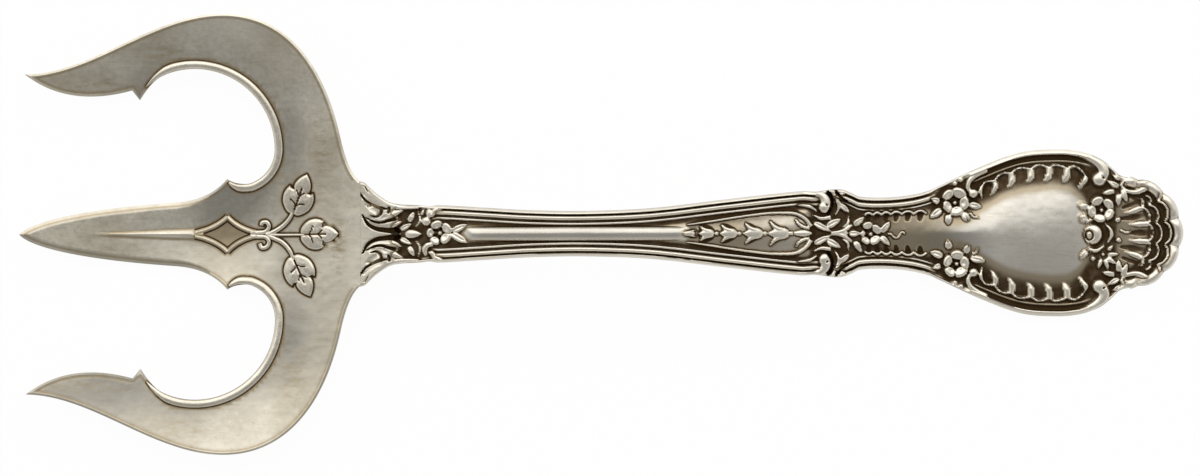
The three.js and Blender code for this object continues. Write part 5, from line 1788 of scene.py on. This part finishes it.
# %% [markdown]
# ## Floor, light and camera
# The fork lies on white paper under one large soft lamp on its upper side. The walls of the room are
# brighter on that side too, and the ceiling behind the camera is dim, so faces that look straight up stay
# grey and the flanks of the relief catch the light. A picture of a real room could light it too, but a few
# plain colours are easier to read. The camera looks straight down through a long lens, so the tines and the
# shell keep their true proportions.

# %% Floor
PAPER_SIZE = 6.0
PAPER_LEVEL = -0.1 * MM
PAPER_GLOW = 0.96
bpy.ops.object.select_all(action="DESELECT")
bpy.ops.mesh.primitive_plane_add(size=PAPER_SIZE, location=(0, 0, PAPER_LEVEL))
floor = bpy.context.object
floor.name = "paper_floor"
# Matt paper: it is plain white and only shows the fork's soft shadow.
paper = new_material("white_paper")
tree = paper.node_tree
ray = add(tree, "ShaderNodeLightPath").outputs
seen = 0.0
for kind in ("Is Camera Ray", "Is Glossy Ray", "Is Transmission Ray"):
    seen = add(tree, "ShaderNodeMath", {0: seen, 1: ray[kind]}, operation="MAXIMUM")
share = add(tree, "ShaderNodeMath", {0: seen, 1: PAPER_GLOW}, operation="MULTIPLY")
matt = add(tree, "ShaderNodeBsdfDiffuse", {"Color": linear("#FAFAF8")})
glow = add(tree, "ShaderNodeEmission", {"Color": linear("#FFFFFF"), "Strength": 1.0})
mixed = add(tree, "ShaderNodeMixShader", {0: share, 1: matt, 2: glow})
add(tree, "ShaderNodeOutputMaterial", {"Surface": mixed})
floor.data.materials.append(paper)
print("the paper is", PAPER_SIZE, "m wide")

# %% Light
ROOM_LIGHT = 1.12
DIM_WALL = "#D4D4D3"
BRIGHT_WALL = "#FFFFFD"
CEILING = "#A3A4A5"
world = bpy.data.worlds.new("studio")
bpy.context.scene.world = world
world.use_nodes = True
tree = world.node_tree
tree.nodes.clear()
direction = add(tree, "ShaderNodeTexCoord").outputs["Generated"]
parts = add(tree, "ShaderNodeSeparateXYZ", {"Vector": direction}).outputs
sky = linear(DIM_WALL)
for axis, low, high, colour in (("Y", -0.8, 0.8, BRIGHT_WALL), ("Z", 0.3, 0.9, CEILING)):
    span = {"Value": parts[axis], "From Min": low, "From Max": high}
    share = add(tree, "ShaderNodeMapRange", span, interpolation_type="SMOOTHSTEP")
    sky = add(tree, "ShaderNodeMix", {"Factor": share, "A": sky, "B": linear(colour)}, data_type="RGBA")
back = add(tree, "ShaderNodeBackground", {"Color": sky, "Strength": ROOM_LIGHT})
add(tree, "ShaderNodeOutputWorld", {"Surface": back})
print("the room's light:", ROOM_LIGHT)

# %% Lamp
KEY_TILT = math.radians(38)
KEY_TURN = math.radians(-6)
KEY_DISTANCE = 1.0
KEY_SIZE = (1.0, 1.9)
KEY_RADIANCE = 1.25
lamp_data = bpy.data.lights.new("key_softbox", "AREA")
lamp_data.shape = "RECTANGLE"
lamp_data.size, lamp_data.size_y = KEY_SIZE
lamp_data.energy = KEY_RADIANCE * math.pi * KEY_SIZE[0] * KEY_SIZE[1]
lamp = bpy.data.objects.new("key_softbox", lamp_data)
aside = math.sin(KEY_TILT)
away = Vector((aside * math.sin(KEY_TURN), aside * math.cos(KEY_TURN), math.cos(KEY_TILT)))
lamp.location = away * KEY_DISTANCE
lamp.rotation_euler = away.to_track_quat("Z", "X").to_euler()
lamp.visible_camera = False
bpy.context.scene.collection.objects.link(lamp)
print("the lamp gives", round(lamp_data.energy, 2), "W")

# %% Camera
LENS = 180.0
SENSOR = 36.0
FRAME_WIDTH = 206.3 * MM
FOCUS_HEIGHT = 2.2 * MM
FRAME_CENTRE = (-0.34 * MM, -0.75 * MM)
ROLL = -0.1
camera_data = bpy.data.cameras.new("camera")
camera_data.lens = LENS
camera_data.sensor_width = SENSOR
camera = bpy.data.objects.new("camera", camera_data)
camera.location = (*FRAME_CENTRE, FOCUS_HEIGHT + FRAME_WIDTH * LENS / SENSOR)
camera.rotation_euler = (0, 0, math.radians(ROLL))
bpy.context.scene.collection.objects.link(camera)
bpy.context.scene.camera = camera
bpy.context.scene.view_settings.view_transform = "Standard"
print("the camera stands", round(camera.location.z, 3), "m above the table")
